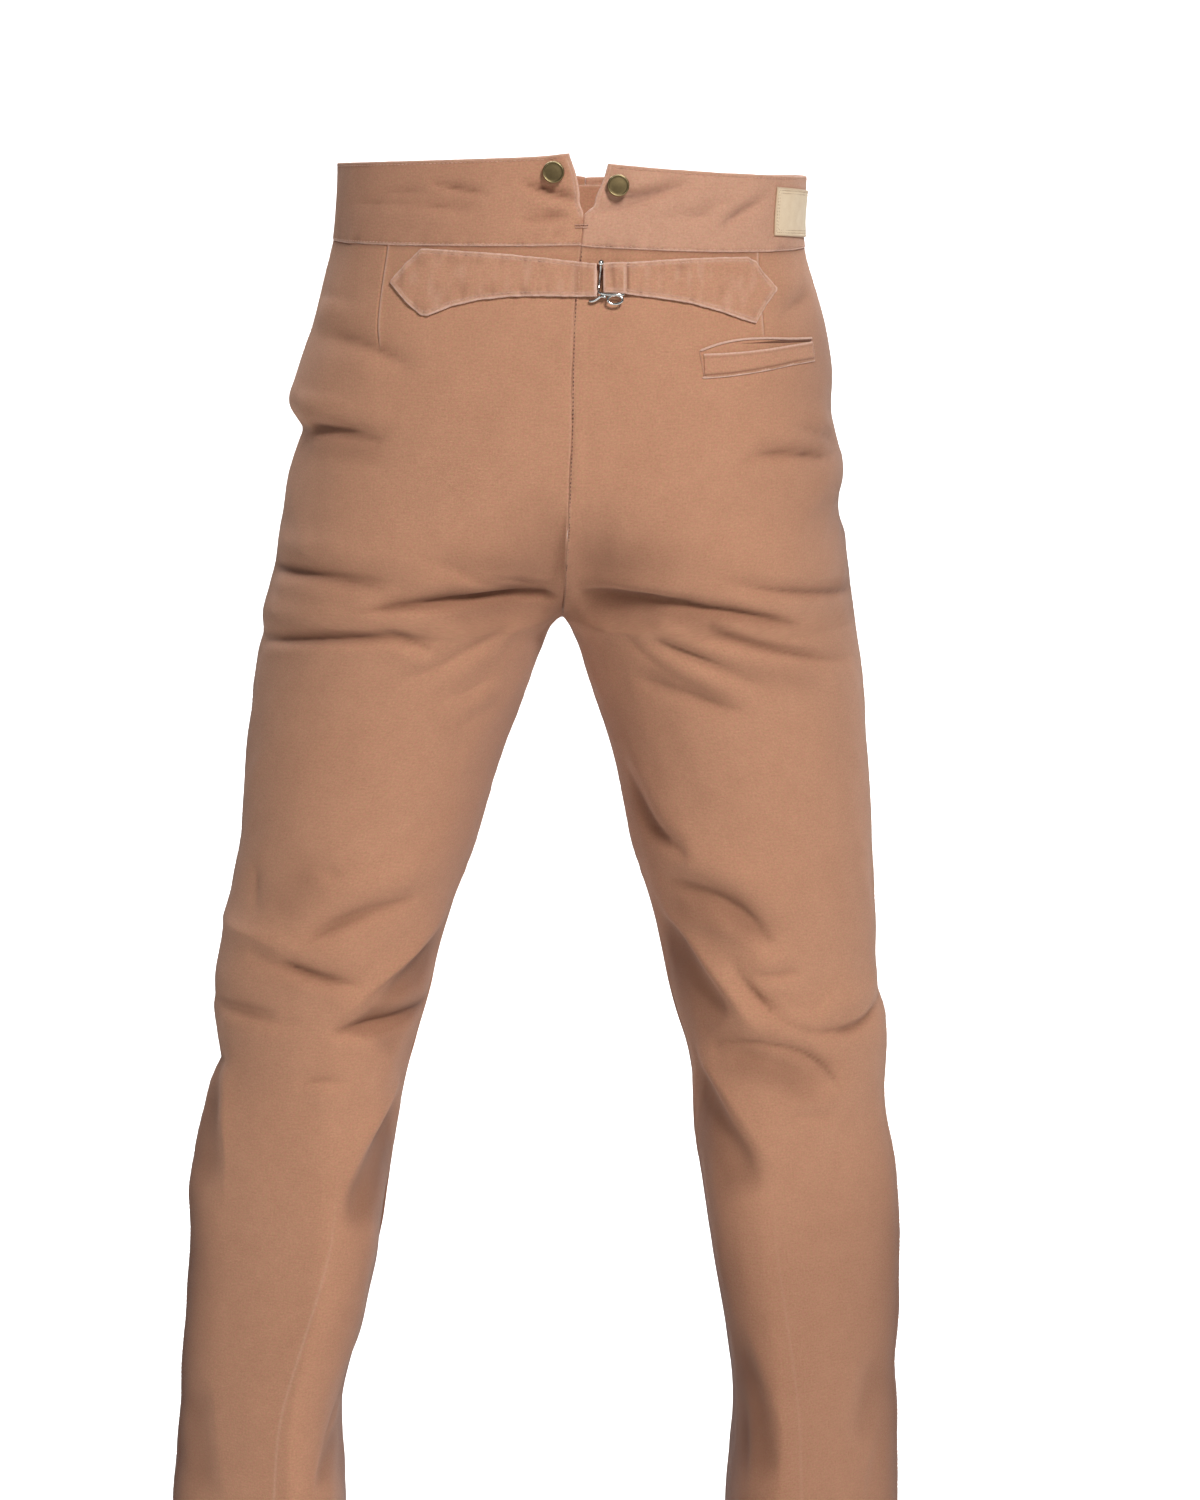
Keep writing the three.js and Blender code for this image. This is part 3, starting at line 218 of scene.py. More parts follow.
# Short sharp creases inside and beside the large folds, in the same columns.
CREASES = {
    LEFT: [
        # seat
        (0.394, -257, 0.356, -268, 0.088, -287, 3.5, 1.1, 0.5, 0.5, 0.5),
        (0.338, -267, 0.25, -270, 0.1, -286, 3, 0.9, 0.4, 0.4, 0.5),
        (0.64, -291, 0.36, -282, 0.07, -286, 3.6, 1.8, 1.2, 2.0, 0.45),
        (0.975, -272, 0.713, -268, 0.544, -275, 6, 2.4, 1.4, 1, 0.3),
        (0.925, -323, 0.681, -311, 0.5, -307, 4.5, 2.2, 1.4, 1.4, 0.4),
        (0.562, -301, 0.488, -310, 0.4, -320, 5, 1.6, 1, 1, 0.5),
        (0.425, -328, 0.331, -316, 0.25, -302, 7, 1.6, 1, 0.3, 0.5),
        (0.406, -352, 0.312, -348, 0.238, -336, 8, 1.2, 0.8, 0.1, 0.5),
        # hip
        (0.86, -106, 0.7, -108, 0.54, -124, 8, 2, 1.4, 0.8, 0.65),
        (0.85, -170, 0.731, -169, 0.594, -174, 6, 2.6, 1.6, 1.2, 0.2),
        (0.75, -188, 0.669, -187, 0.581, -188, 7, 1.3, 0.8, 0.2, 0.4),
        (0.988, -83, 0.831, -80, 0.681, -84, 7, 1.2, 0.8, 0.2, 0.4),
        (0.906, -144, 0.769, -143, 0.588, -150, 9, 1.6, 1, 0.2, 0.4),
        # waistband
        (0.575, 0, 0.5, -3, 0.413, -7, 4.5, 2.4, 1.1, 1.4, 0.5),
        (0.344, 2, 0.244, -5, 0.106, -9, 4.5, 2.6, 1.2, 1.4, 0.5),
        (0.844, -16, 0.575, -15, 0.469, -21, 5, 2.1, 1.2, 0.8, 0.5),
        (0.344, -23, 0.269, -23, 0.131, -19, 4, 2.2, 0.9, 1, 0.5),
        (0.744, -11, 0.65, -6, 0.544, -9, 5, 1.6, 1.1, 0.4, 0.5),
        # knee
        (0.669, -545, 0.569, -554, 0.413, -561, 6, 2.6, 1.4, 1.4, 0.5),
        (0.894, -529, 0.731, -532, 0.644, -537, 7, -2.2, 0, 0, 0.5),
        (0.306, -497, 0.525, -518, 0.619, -537, 8, 2.2, 1.4, 0.7, 0.6),
        (0.9, -588, 0.694, -589, 0.581, -589, 6, 1.8, 1.2, 0.8, 0.3),
        (0.513, -594, 0.325, -592, 0.013, -590, 5, 2.2, 1.4, 1.2, 0.6),
        (0.6, -637, 0.531, -630, 0.425, -636, 6, 1.4, 0.8, 0.4, 0.5),
        (0.631, -471, 0.581, -477, 0.537, -482, 6, 1.6, 0.6, 0.5, 0.6),
        # front
        (1.06, -262, 1.3, -270, 1.62, -281, 6, 1.8, 1.2, 0.8, 0.4),
        (1.45, -292, 1.7, -296, 1.93, -300, 5, 2, 1.2, 1, 0.6),
        (1.5, -318, 1.7, -310, 1.92, -306, 5, 1.4, 0.8, 0.6, 0.6),
        (1.2, -566, 1.4, -572, 1.62, -564, 6, 1.8, 1.2, 0.7, 0.5),
        (1.1, -598, 1.3, -604, 1.5, -598, 6, 1.6, 1.1, 0.6, 0.4),
        (1.25, -12, 1.45, -16, 1.66, -14, 5, 2.1, 1.1, 1, 0.5),
        (1.55, -1072, 1.7, -1078, 1.86, -1070, 6, 1.4, 0.9, 0.4, 0.5)],
    RIGHT: [
        # seat
        (0.14, -281, 0.36, -280, 0.52, -290, 4, 1.8, 1.2, 1.5, 0.5),
        (0.46, -285, 0.58, -291, 0.72, -303, 4, 1.8, 1, 1.6, 0.5),
        (0.537, -266, 0.663, -276, 0.988, -290, 5, 1.8, 1.2, 1.2, 0.7),
        (0.363, -310, 0.425, -318, 0.544, -332, 6, 2.2, 1.4, 1.2, 0.5),
        (0.494, -296, 0.588, -314, 0.869, -335, 5, 2.2, 1.4, 1.4, 0.5),
        (0.3, -307, 0.344, -325, 0.463, -347, 8, 1.8, 1, 0.3, 0.5),
        (0.394, -346, 0.481, -356, 0.562, -361, 8, 1.2, 0.8, 0.2, 0.5),
        (0.169, -452, 0.275, -458, 0.344, -470, 8, 2, 1, 0.5, 0.8),
        # waistband and hip
        (0.2, -8, 0.338, -7, 0.494, 2, 5, 3.2, 1.8, 1.8, 0.4),
        (0.569, -32, 0.631, -20, 0.719, -12, 5, 2.8, 1.6, 1.4, 0.5),
        (0.331, -25, 0.481, -21, 0.594, -23, 6, 1.4, 0.9, 0.4, 0.5),
        (0.56, -188, 0.7, -183, 0.88, -193, 5.5, 2, 1.4, 1.4, 0.55),
        (0.719, -164, 0.8, -171, 0.944, -183, 6, 1.8, 1.2, 0.9, 0.7),
        (0.719, -92, 0.8, -84, 0.919, -78, 9, 1.8, 1.2, 0.5, 0.6),
        # knee
        (0.2, -487, 0.43, -499, 0.55, -536, 12, 3.6, 2, 0.9, 0.75),
        (0.431, -549, 0.575, -588, 0.7, -597, 3.5, 1, 1.2, 1.1, 0.5),
        (0.663, -595, 0.775, -599, 0.913, -587, 3.5, 1.2, 1.4, 1.1, 0.6),
        (0.46, -549, 0.55, -553, 0.63, -551, 6, 2, 1.2, 1, 0.5),
        (0.28, -610, 0.56, -606, 0.73, -644, 9, 3.6, 2, 1.6, 0.7),
        (0.575, -657, 0.644, -660, 0.706, -664, 7, 1, 0.6, 0.1, 0.5),
        (0.019, -527, 0.344, -518, 0.463, -534, 8, -1.6, 0, 0, 0.5),
        # front
        (1.05, -276, 1.28, -272, 1.6, -280, 6, 1.8, 1.2, 0.8, 0.4),
        (1.42, -298, 1.68, -294, 1.93, -301, 5, 2, 1.2, 1, 0.6),
        (1.52, -322, 1.7, -314, 1.92, -307, 5, 1.4, 0.8, 0.6, 0.6),
        (1.22, -562, 1.42, -568, 1.64, -572, 6, 1.8, 1.2, 0.7, 0.5),
        (1.12, -606, 1.34, -598, 1.55, -602, 6, 1.6, 1.1, 0.6, 0.4),
        (1.22, -18, 1.42, -12, 1.6, -17, 5, 2.1, 1.1, 1, 0.5),
        (1.5, -1078, 1.68, -1070, 1.85, -1076, 6, 1.4, 0.9, 0.4, 0.5)]}
# Lines where the cloth turns away more steeply: a curve through three points, how far the steep
# part reaches, and its fall, on the right of the line where positive and on its left otherwise.
TURN_COLUMNS = "u0 z0 u1 z1 u2 z2 width fall"
TURNS = {
    LEFT: [
        (0.013, -515, 0.319, -551, 0.506, -593, 20, 11), (0.1, -636, 0.35, -684, 0.5, -752, 22, 11),
        (0.919, -622, 0.806, -671, 0.788, -740, 16, -7), (0.781, -855, 0.744, -905, 0.706, -965, 16, -5),
        (0.062, -883, 0.325, -909, 0.4, -947, 13, 5), (1.15, -500, 1.4, -548, 1.55, -596, 18, 5),
        (1.9, -620, 1.7, -668, 1.58, -740, 18, -5)],
    RIGHT: [
        (0.1, -497, 0.33, -543, 0.5, -600, 22, 13), (0.1, -610, 0.38, -650, 0.6, -716, 22, 12),
        (0.35, -796, 0.488, -874, 0.537, -944, 20, 6), (0.325, -868, 0.331, -909, 0.381, -948, 8, 2),
        (0.794, -826, 0.731, -875, 0.688, -925, 16, -3.5), (0.85, -890, 0.788, -927, 0.763, -960, 7, -2),
        (1.12, -505, 1.38, -556, 1.52, -600, 18, 5), (1.88, -612, 1.7, -662, 1.56, -736, 18, -5)]}
# Soft bands of painted shade in the hollows, which don't move the cloth: a curve through three points, its
# half width and how much.
SHADE_BAND_COLUMNS = "u0 z0 u1 z1 u2 z2 width share"
SHADE_BANDS = {
    LEFT: [
        (0.58, -468, 0.66, -492, 0.7, -515, 16, 0.35), (0.42, -568, 0.6, -558, 0.76, -552, 8, 0.2),
        (0.56, -182, 0.74, -178, 0.95, -188, 9, 0.3)],
    RIGHT: [
        (0.18, -503, 0.36, -514, 0.51, -537, 12, 0.6), (0.28, -621, 0.5, -627, 0.7, -652, 9, 0.55),
        (0.12, -418, 0.2, -446, 0.3, -466, 12, 0.35), (0.5, -326, 0.62, -336, 0.78, -345, 9, 0.3),
        (0.3, -328, 0.42, -342, 0.54, -358, 9, 0.35)]}
FOLD_STEPS = 10      # straight pieces that stand for a fold's curve
TROUGH_ROUND = 0.6   # the round part of a trough's depth, beside its sharp bottom
TROUGH_SHARP = 2.6   # how steeply the sharp bottom rises, for each half width
TROUGH_BLUNT = 0.1   # half widths, the rounding of the sharp bottom
FOLD_FULLNESS = 0.8  # below 1 a fold stays strong for more of its line
LARGE_LINE = 0.35    # the large folds' own thin lines, where the short creases stand in them
LINE_LEAST = 1.5     # mm, the narrowest thin line
LINE_WIDTH = 0.22    # of the thin line, as a part of the trough's half width
SWELL_OFFSET = 1.8   # half widths from the trough to the middle of the swell
SWELL_WIDTH = 1.15   # half widths
FOLD_REACH = 4.5     # half widths beyond which a fold no longer moves the cloth
TURN_REACH = 4.0     # widths beyond which a turn or a band of painted shade no longer counts
TURN_BACK = 1.3      # widths at which the fall begins to come back
TURN_GROWS = 0.35    # part of its line over which a turn grows
TURN_ENDS = 0.3      # part of its line over which a turn or a band of painted shade ends
TURN_SHADE = 1.3      # how much painted shade, beside the thin lines
TURN_EDGE = 0.14     # widths from the line within which a turn's painted shade grows
TURN_FADES = 0.75    # part of its line over which a turn's painted shade fades out
TURN_SHADE_REACH = 1.6  # widths
TURN_SMALL = 4       # mm of fall that leaves no painted shade
TURN_LARGE = 11      # mm of fall that leaves all of it
SHADE_BAND_STRENGTH = 2.7      # how dark a band of painted shade is, beside the thin lines
HANG_UNEVEN = 0.35   # mm, the low unevenness of hanging cloth
PUCKER = 0.3         # mm, the height of the puckers along a sewn seam
PUCKER_REACH = 6.0   # mm from the seam
SEAM_TURN = 14.0     # mm from the centre seam within which the cloth isn't moved across it


# ---- The smooth cloth ---------------------------------------------------------------------------
def smoothstep(x):
    x = np.clip(x, 0, 1)
    return x * x * (3 - 2 * x)


def bump(x, width):
    """A soft hump, 1 in its middle."""
    return np.exp(-((x / width) ** 2))


def leg_share(t, z):
    s = np.clip((z - CROTCH_Z) / SEAT_RISE, 0, 1)
    seat = 1 - np.sqrt(1 - (1 - s) ** 2)
    even = 1 - smoothstep(s)
    return seat + (even - seat) * smoothstep(t / SEAT_FOLD)


def inner_x(side, z):
    above = CENTRE.at("x", z) + side * SEAM_GAP / 2
    return np.where(z >= CROTCH_Z, above, INSEAM[side].at("x", z))


def cloth(side, u, z):
    """Points of the smooth cloth."""
    u, z = np.broadcast_arrays(np.asarray(u, float), np.asarray(z, float))
    front = u > 1
    t = np.clip(np.where(front, 2 - u, u), 0, 1)
    far = np.where(front, DEPTHS.at("front", z), DEPTHS.at("back", z))
    seam = -SIDE_SEAM_LEAN * z / HEM_Z + np.where(front, -SEAM_GAP, SEAM_GAP) / 2
    inner = inner_x(side, z)
    c = np.cos(np.pi * t)
    across = (1 - c) / 2
    turn = DEPTHS.at("turn", z) * np.where(front, -1, 1)
    x = inner + (SIDE_SEAM[side].at("x", z) - inner) * (across + turn * (1 - c * c) / 2)
    hip = (1 - across ** WAIST_ROUNDNESS) ** (1 / WAIST_ROUNDNESS)
    crease = DEPTHS.at("crease", z)
    ridge = 1 - (np.hypot(c, CREASE_BLUNT) - CREASE_BLUNT) / (math.hypot(1, CREASE_BLUNT) - CREASE_BLUNT)
    leg = (1 - crease) * np.sqrt(np.maximum(1 - c * c, 0)) + crease * ridge
    deep = hip + (leg - hip) * leg_share(t, z)
    return np.stack([x, seam + (far - seam) * deep, z], -1)


def unit(vectors):
    return vectors / np.maximum(np.linalg.norm(vectors, axis=-1, keepdims=True), 1e-9)


def walk(path):
    """How far along a path each of its points is."""
    return np.concatenate([[0], np.linalg.norm(np.diff(path, axis=0), axis=1).cumsum()])


def between(where, walked, values):
    """The values at some places along a path."""
    return np.stack([np.interp(where, walked, values[:, k]) for k in range(3)], -1)


def outward(side, u, z):
    """The outward direction of the smooth cloth."""
    u, z = np.broadcast_arrays(np.asarray(u, float), np.asarray(z, float))
    front = u > 1
    low = np.where(front, 1 + JUST_FRONT, 0)
    high = np.where(front, 2, 1)
    across = cloth(side, np.minimum(u + 0.004, high), z) - cloth(side, np.maximum(u - 0.004, low), z)
    up = cloth(side, u, z + 1) - cloth(side, u, z - 1)
    return unit(np.cross(across, up) * -side)


def girth(side, z):
    """The length of cloth round half of one side, which turns u into millimetres for the folds."""
    width = np.abs(SIDE_SEAM[side].at("x", z) - inner_x(side, z))
    depth = DEPTHS.at("back", z)
    hip = HIP_GIRTH * (width + depth)
    return hip + leg_share(1, z) * (math.pi / math.sqrt(2) * np.hypot(width / 2, depth) - hip)


def from_line(f, u, z, round_):
    """Distance of points from a fold's line, positive on its left, and their place along it."""
    t = np.linspace(0, 1, FOLD_STEPS + 1)
    bend_u = 2 * f["u1"] - (f["u0"] + f["u2"]) / 2
    bend_z = 2 * f["z1"] - (f["z0"] + f["z2"]) / 2
    line_u = f["u0"] * (1 - t) ** 2 + 2 * bend_u * t * (1 - t) + f["u2"] * t * t
    line_z = f["z0"] * (1 - t) ** 2 + 2 * bend_z * t * (1 - t) + f["z2"] * t * t
    nearest = np.full(u.shape, np.inf)
    off = np.zeros(u.shape)
    along = np.zeros(u.shape)
    for k in range(FOLD_STEPS):
        bx = (line_u[k + 1] - line_u[k]) * round_
        bz = line_z[k + 1] - line_z[k]
        px = (u - line_u[k]) * round_
        pz = z - line_z[k]
        s = np.clip((px * bx + pz * bz) / (bx * bx + bz * bz), 0, 1)
        gap = np.hypot(px - s * bx, pz - s * bz)
        closer = gap < nearest
        nearest = np.where(closer, gap, nearest)
        turned = np.where(bx * pz - bz * px < 0, -1.0, 1.0)
        off = np.where(closer, gap * turned, off)
        along = np.where(closer, (k + s) / FOLD_STEPS, along)
    return off, along


def fold_height(f, off, along, line_share):
    """How far one fold moves the cloth outwards, and its thin line there."""
    rise = np.where(along < f["peak"], along / f["peak"], (1 - along) / (1 - f["peak"]))
    strength = np.sin(math.pi / 2 * rise) ** FOLD_FULLNESS
    q = off / f["width"]
    sharp = np.exp(-TROUGH_SHARP * (np.hypot(q, TROUGH_BLUNT) - TROUGH_BLUNT))
    line = f["line"] * line_share * strength
    line = line * np.exp(-np.abs(off) / max(LINE_WIDTH * f["width"], LINE_LEAST))
    trough = -f["depth"] * (TROUGH_ROUND * bump(q, 1) + (1 - TROUGH_ROUND) * sharp)
    return (trough + f["swell"] * bump(q - SWELL_OFFSET, SWELL_WIDTH)) * strength - line, line


def turn_height(f, off, along):
    """How far the cloth falls beside a line where it turns away, and how much painted shade is put there."""
    q = np.maximum(-off * np.sign(f["fall"]) / f["width"], 0)
    strength = smoothstep(along / TURN_GROWS) * smoothstep((1 - along) / TURN_ENDS)
    fall = q / (1 + (q / TURN_BACK) ** 3) * strength
    dull = smoothstep(q / TURN_EDGE) * np.exp(-q / TURN_SHADE_REACH) * strength
    dull = dull * smoothstep((1 - along) / TURN_FADES)
    large = smoothstep((abs(f["fall"]) - TURN_SMALL) / (TURN_LARGE - TURN_SMALL))
    return -abs(f["fall"]) * fall, TURN_SHADE * dull * large


def shade_band(f, off, along):
    """A soft band of painted shade, which doesn't move the cloth."""
    ends = smoothstep(along / TURN_ENDS) * smoothstep((1 - along) / TURN_ENDS)
    return 0.0, SHADE_BAND_STRENGTH * f["share"] * bump(off, f["width"]) * ends


def ripple(seed, s, z, shortest, longest, waves=16):
    """Uneven low waves over the cloth, mostly between -1 and 1."""
    random = np.random.default_rng(seed)
    total = np.zeros(np.broadcast(s, z).shape)
    for _ in range(waves):
        length = shortest * (longest / shortest) ** random.random()
        angle = random.uniform(0, math.pi)
        phase = random.uniform(0, 2 * math.pi)
        total += np.sin(2 * math.pi * (s * math.cos(angle) + z * math.sin(angle)) / length + phase)
    return total / math.sqrt(waves)


def close_to(f, reach, u, z, round_):
    us, zs = ([f[axis + k] for k in "012"] for axis in "uz")
    margin = reach / np.maximum(round_, 60)
    near = (z > min(zs) - reach) & (z < max(zs) + reach)
    return near & (u > min(us) - margin) & (u < max(us) + margin)


def folds_and_lines(side, u, z):
    """All folds of one side at some points, with the low unevenness of hanging cloth, and how much of a thin
    crease line and of painted shade is there."""
    u, z = np.broadcast_arrays(np.asarray(u, float), np.asarray(z, float))
    round_ = girth(side, z)
    total = HANG_UNEVEN * ripple(7 + side, u * round_ * side, z, 28, 110)
    lines = np.zeros(u.shape)
    kinds = [
        (FOLDS[side] + FRONT_FOLDS[side], FOLD_COLUMNS, FOLD_REACH, fold_height, (LARGE_LINE,)),
        (CREASES[side], FOLD_COLUMNS, FOLD_REACH, fold_height, (1.0,)),
        (TURNS[side], TURN_COLUMNS, TURN_REACH, turn_height, ()),
        (SHADE_BANDS[side], SHADE_BAND_COLUMNS, TURN_REACH, shade_band, ())]
    for rows, columns, reach, shape, more in kinds:
        for row in rows:
            f = dict(zip(columns.split(), row))
            near = close_to(f, f["width"] * reach, u, z, round_)
            if near.any():
                height, line = shape(f, *from_line(f, u[near], z[near], round_[near]), *more)
                total[near] += height
                lines[near] += line
    return total, lines


def skin(side, u, z, lift=0.0):
    """Points on the outside of the folded cloth, lifted off it, and the way out there."""
    out = outward(side, u, z)
    return cloth(side, u, z) + out * (folds_and_lines(side, u, z)[0] + lift)[..., None], out


class Round:
    """Lengths of cloth round one side from the centre back, at any height."""

    STEP = 5.0     # mm between the heights that are measured
    ACROSS = 400   # steps round each panel

    def __init__(self, side):
        self.bottom = HEM_Z - 10
        self.us = np.linspace(0, 2, 2 * self.ACROSS + 1)
        zs = np.arange(self.bottom, 66, self.STEP)
        points = cloth(side, self.us[None, :], zs[:, None])
        steps = np.linalg.norm(np.diff(points, axis=1), axis=2)
        self.lengths = np.concatenate([np.zeros((len(zs), 1)), steps.cumsum(1)], axis=1)

    def level(self, z):
        """The measured height just under z, and how far z is towards the next."""
        k = np.clip((z - self.bottom) / self.STEP, 0, len(self.lengths) - 1.001)
        i = np.asarray(k).astype(int)
        return i, k - i

    def row(self, z):
        i, part = self.level(z)
        return self.lengths[i] + (self.lengths[i + 1] - self.lengths[i]) * part

    def u_at(self, lengths, z):
        """u at some lengths from the centre back, for one height."""
        return np.interp(lengths, self.row(z), self.us)

    def u_near(self, lengths, zs):
        """u at some lengths from the centre back, each at its own height."""
        return np.array([float(self.u_at(length, z)) for length, z in zip(lengths, zs)])

    def length_at(self, u, z):
        u, z = np.broadcast_arrays(np.asarray(u, float), np.asarray(z, float))
        i, a = self.level(z)
        across = np.clip(u * self.ACROSS, 0, 2 * self.ACROSS - 0.001)
        j = across.astype(int)
        b = across - j
        low, high = (self.lengths[k, j] * (1 - b) + self.lengths[k, j + 1] * b for k in (i, i + 1))
        return low * (1 - a) + high * a


ROUND = {LEFT: Round(LEFT), RIGHT: Round(RIGHT)}


def u_across(side, x, z):
    """u of the back at a distance x across, above the seat."""
    inner = inner_x(side, z)
    share = np.clip((x - inner) / (SIDE_SEAM[side].at("x", z) - inner), 0, 1)
    return np.arccos(1 - 2 * share) / math.pi


def on_backs(x, z, lift=0.0):
    """Points over the two backs at x and z."""
    x, z = np.broadcast_arrays(np.asarray(x, float), np.asarray(z, float))
    lift = np.broadcast_to(np.asarray(lift, float), x.shape)
    points = np.zeros(x.shape + (3,))
    out = np.zeros(x.shape + (3,))
    for side in (LEFT, RIGHT):
        mine = (x >= CENTRE.at("x", z)) == (side == LEFT)
        if mine.any():
            u = u_across(side, x[mine], z[mine])
            points[mine], out[mine] = skin(side, u, z[mine], lift[mine])
    return points, out


# ---- Meshes -------------------------------------------------------------------------------------
def make_piece(name, points, quads, material, extra=None, triangles=None):
    """A smooth mesh of quads, turned to face outwards, with its values for the material."""
    quads = np.asarray(quads, np.int32).reshape(-1, 4)
    triangles = np.zeros((0, 3), np.int32) if triangles is None else np.asarray(triangles, np.int32)
    corners = [quads[:, [0, 1, 2]], quads[:, [0, 2, 3]], triangles]
    a, b, c = (np.concatenate([points[t[:, k]] for t in corners]) for k in range(3))
    if np.einsum("ij,ij->", a, np.cross(b, c)) < 0:
        quads = quads[:, ::-1]
        triangles = triangles[:, ::-1]
    mesh = bpy.data.meshes.new(name)
    mesh.vertices.add(len(points))
    mesh.vertices.foreach_set("co", (points * MM).astype(np.float32).ravel())
    mesh.loops.add(quads.size + triangles.size)
    loops = np.concatenate([quads.ravel(), triangles.ravel()])
    mesh.loops.foreach_set("vertex_index", loops)
    totals = np.concatenate([np.full(len(quads), 4), np.full(len(triangles), 3)]).astype(np.int32)
    mesh.polygons.add(len(totals))
    starts = np.concatenate([[0], totals.cumsum()[:-1]]).astype(np.int32)
    mesh.polygons.foreach_set("loop_start", starts)
    mesh.polygons.foreach_set("use_smooth", np.ones(len(totals), bool))
    for key, values in (extra or {}).items():
        kind = "FLOAT_VECTOR" if values.ndim == 2 else "FLOAT"
        layer = mesh.attributes.new(key, kind, "POINT")
        layer.data.foreach_set("vector" if values.ndim == 2 else "value", values.astype(np.float32).ravel())
    mesh.update(calc_edges=True)
    mesh.materials.append(material)
    piece = bpy.data.objects.new(name, mesh)
    bpy.context.scene.collection.objects.link(piece)
    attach(piece, "root")
    return piece


def stand_for(piece, node=None):
    """Hides the solid that a piece replaces, if any."""
    if node:
        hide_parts(node)
    return piece


def least(*distances):
    """The smallest of some distances, point by point."""
    return functools.reduce(np.minimum, distances)


def grid_out(grid, guess):
    """The outward direction at each point of a grid."""
    n = unit(np.cross(np.gradient(grid, axis=0), np.gradient(grid, axis=1)))
    flip = np.einsum("ijk,ijk->ij", n, guess) < 0
    n[flip] *= -1
    return n


def upright_at_seam(out, side, from_centre, z):
    """Directions that no longer lean over the centre seam, above the crotch."""
    held = (1 - smoothstep(from_centre / SEAM_TURN)) * (z > CROTCH_Z - 2)
    leans = np.maximum(-side * out[..., 0], 0) * held
    out = out.copy()
    out[..., 0] += side * leans
    return unit(out)


def shell(name, face, guess, thick, edge, material, weave, wear_and_painted_light=0.0, deep=0.0, centre=None):
    """Cloth whose outside is a grid of points. edge is each point's distance from the rim, where
    the two faces round into each other. weave holds the cloth's own coordinates there. centre is
    the side and the distance from the centre seam, for cloth that is sewn there."""
    rows, columns = face.shape[:2]
    out = grid_out(face, guess)
    if centre:
        out = upright_at_seam(out, centre[0], centre[1], face[..., 2])
    radius = thick / 2
    left = np.clip(1 - edge / radius, 0, 1)
    half = (radius * np.sqrt(1 - left * left))[..., None]
    middle = face - out * radius
    rim = np.zeros((rows, columns), bool)
    rim[[0, -1]] = True
    rim[:, [0, -1]] = True
    index = np.arange(rows * columns).reshape(rows, columns)
    back = index.copy()
    back[~rim] = rows * columns + np.arange((~rim).sum())
    points = np.concatenate([(middle + out * half).reshape(-1, 3), (middle - out * half)[~rim]])
    if centre:
        plane = CENTRE.at("x", points[:, 2]) + centre[0] * SEAM_GAP / 2
        over = (points[:, 2] > CROTCH_Z) & ((points[:, 0] - plane) * centre[0] < 0)
        points[over, 0] = plane[over]

    def quads(i):
        return np.stack([i[:-1, :-1], i[:-1, 1:], i[1:, 1:], i[1:, :-1]], -1).reshape(-1, 4)

    def both(values):
        values = np.broadcast_to(values, (rows, columns))
        return np.concatenate([values.ravel(), values[~rim]])

    across, up = (np.broadcast_to(w, (rows, columns)) for w in weave)
    # the values for the material: a paling for worn edges, with some painted light, and a darkening that is
    # painted shade, with some mottled dye on the straps
    extra = {
        "weave": np.stack([both(across), both(up), np.zeros(len(points))], -1),
        "wear_and_painted_light": both(wear_and_painted_light),
        "deep": both(deep)}
    return make_piece(name, points, np.concatenate([quads(index), quads(back)[:, ::-1]]), material, extra)


def spread(low, high, near_low, near_high, count):
    """Places from low to high, close together at its ends, one column each."""
    low, high = np.atleast_1d(low)[:, None], np.atleast_1d(high)[:, None]
    first, last = low + near_low[-1], high - near_high[-1]
    share = np.linspace(0, 1, count + 2)[1:-1]
    parts = [low + np.array(near_low), first + (last - first) * share, high - np.array(near_high)[::-1]]
    return np.concatenate(parts, axis=1)


NEAR_SEAM = (0, 0.12, 0.4, 0.8, 1.3, 1.9, 2.6, 3.5, 4.6, 6, 7.8)   # mm from a sewn edge
NEAR_EDGE = (0, 0.1, 0.35, 0.8, 1.3, 1.9, 2.6, 3.4, 4.4, 6)        # mm from a free edge
NEAR_LINE = (0, 0.4, 0.9, 1.6, 2.8)                                # mm from a line inside a panel


# ---- Materials ----------------------------------------------------------------------------------
def linear(*rgb):
    """A colour given in sRGB, 0 to 255, as Blender's linear values."""
    c = np.array(rgb) / 255
    low = c / 12.92
    high = ((c + 0.055) / 1.055) ** 2.4
    return tuple(np.where(c <= 0.04045, low, high)) + (1.0,)


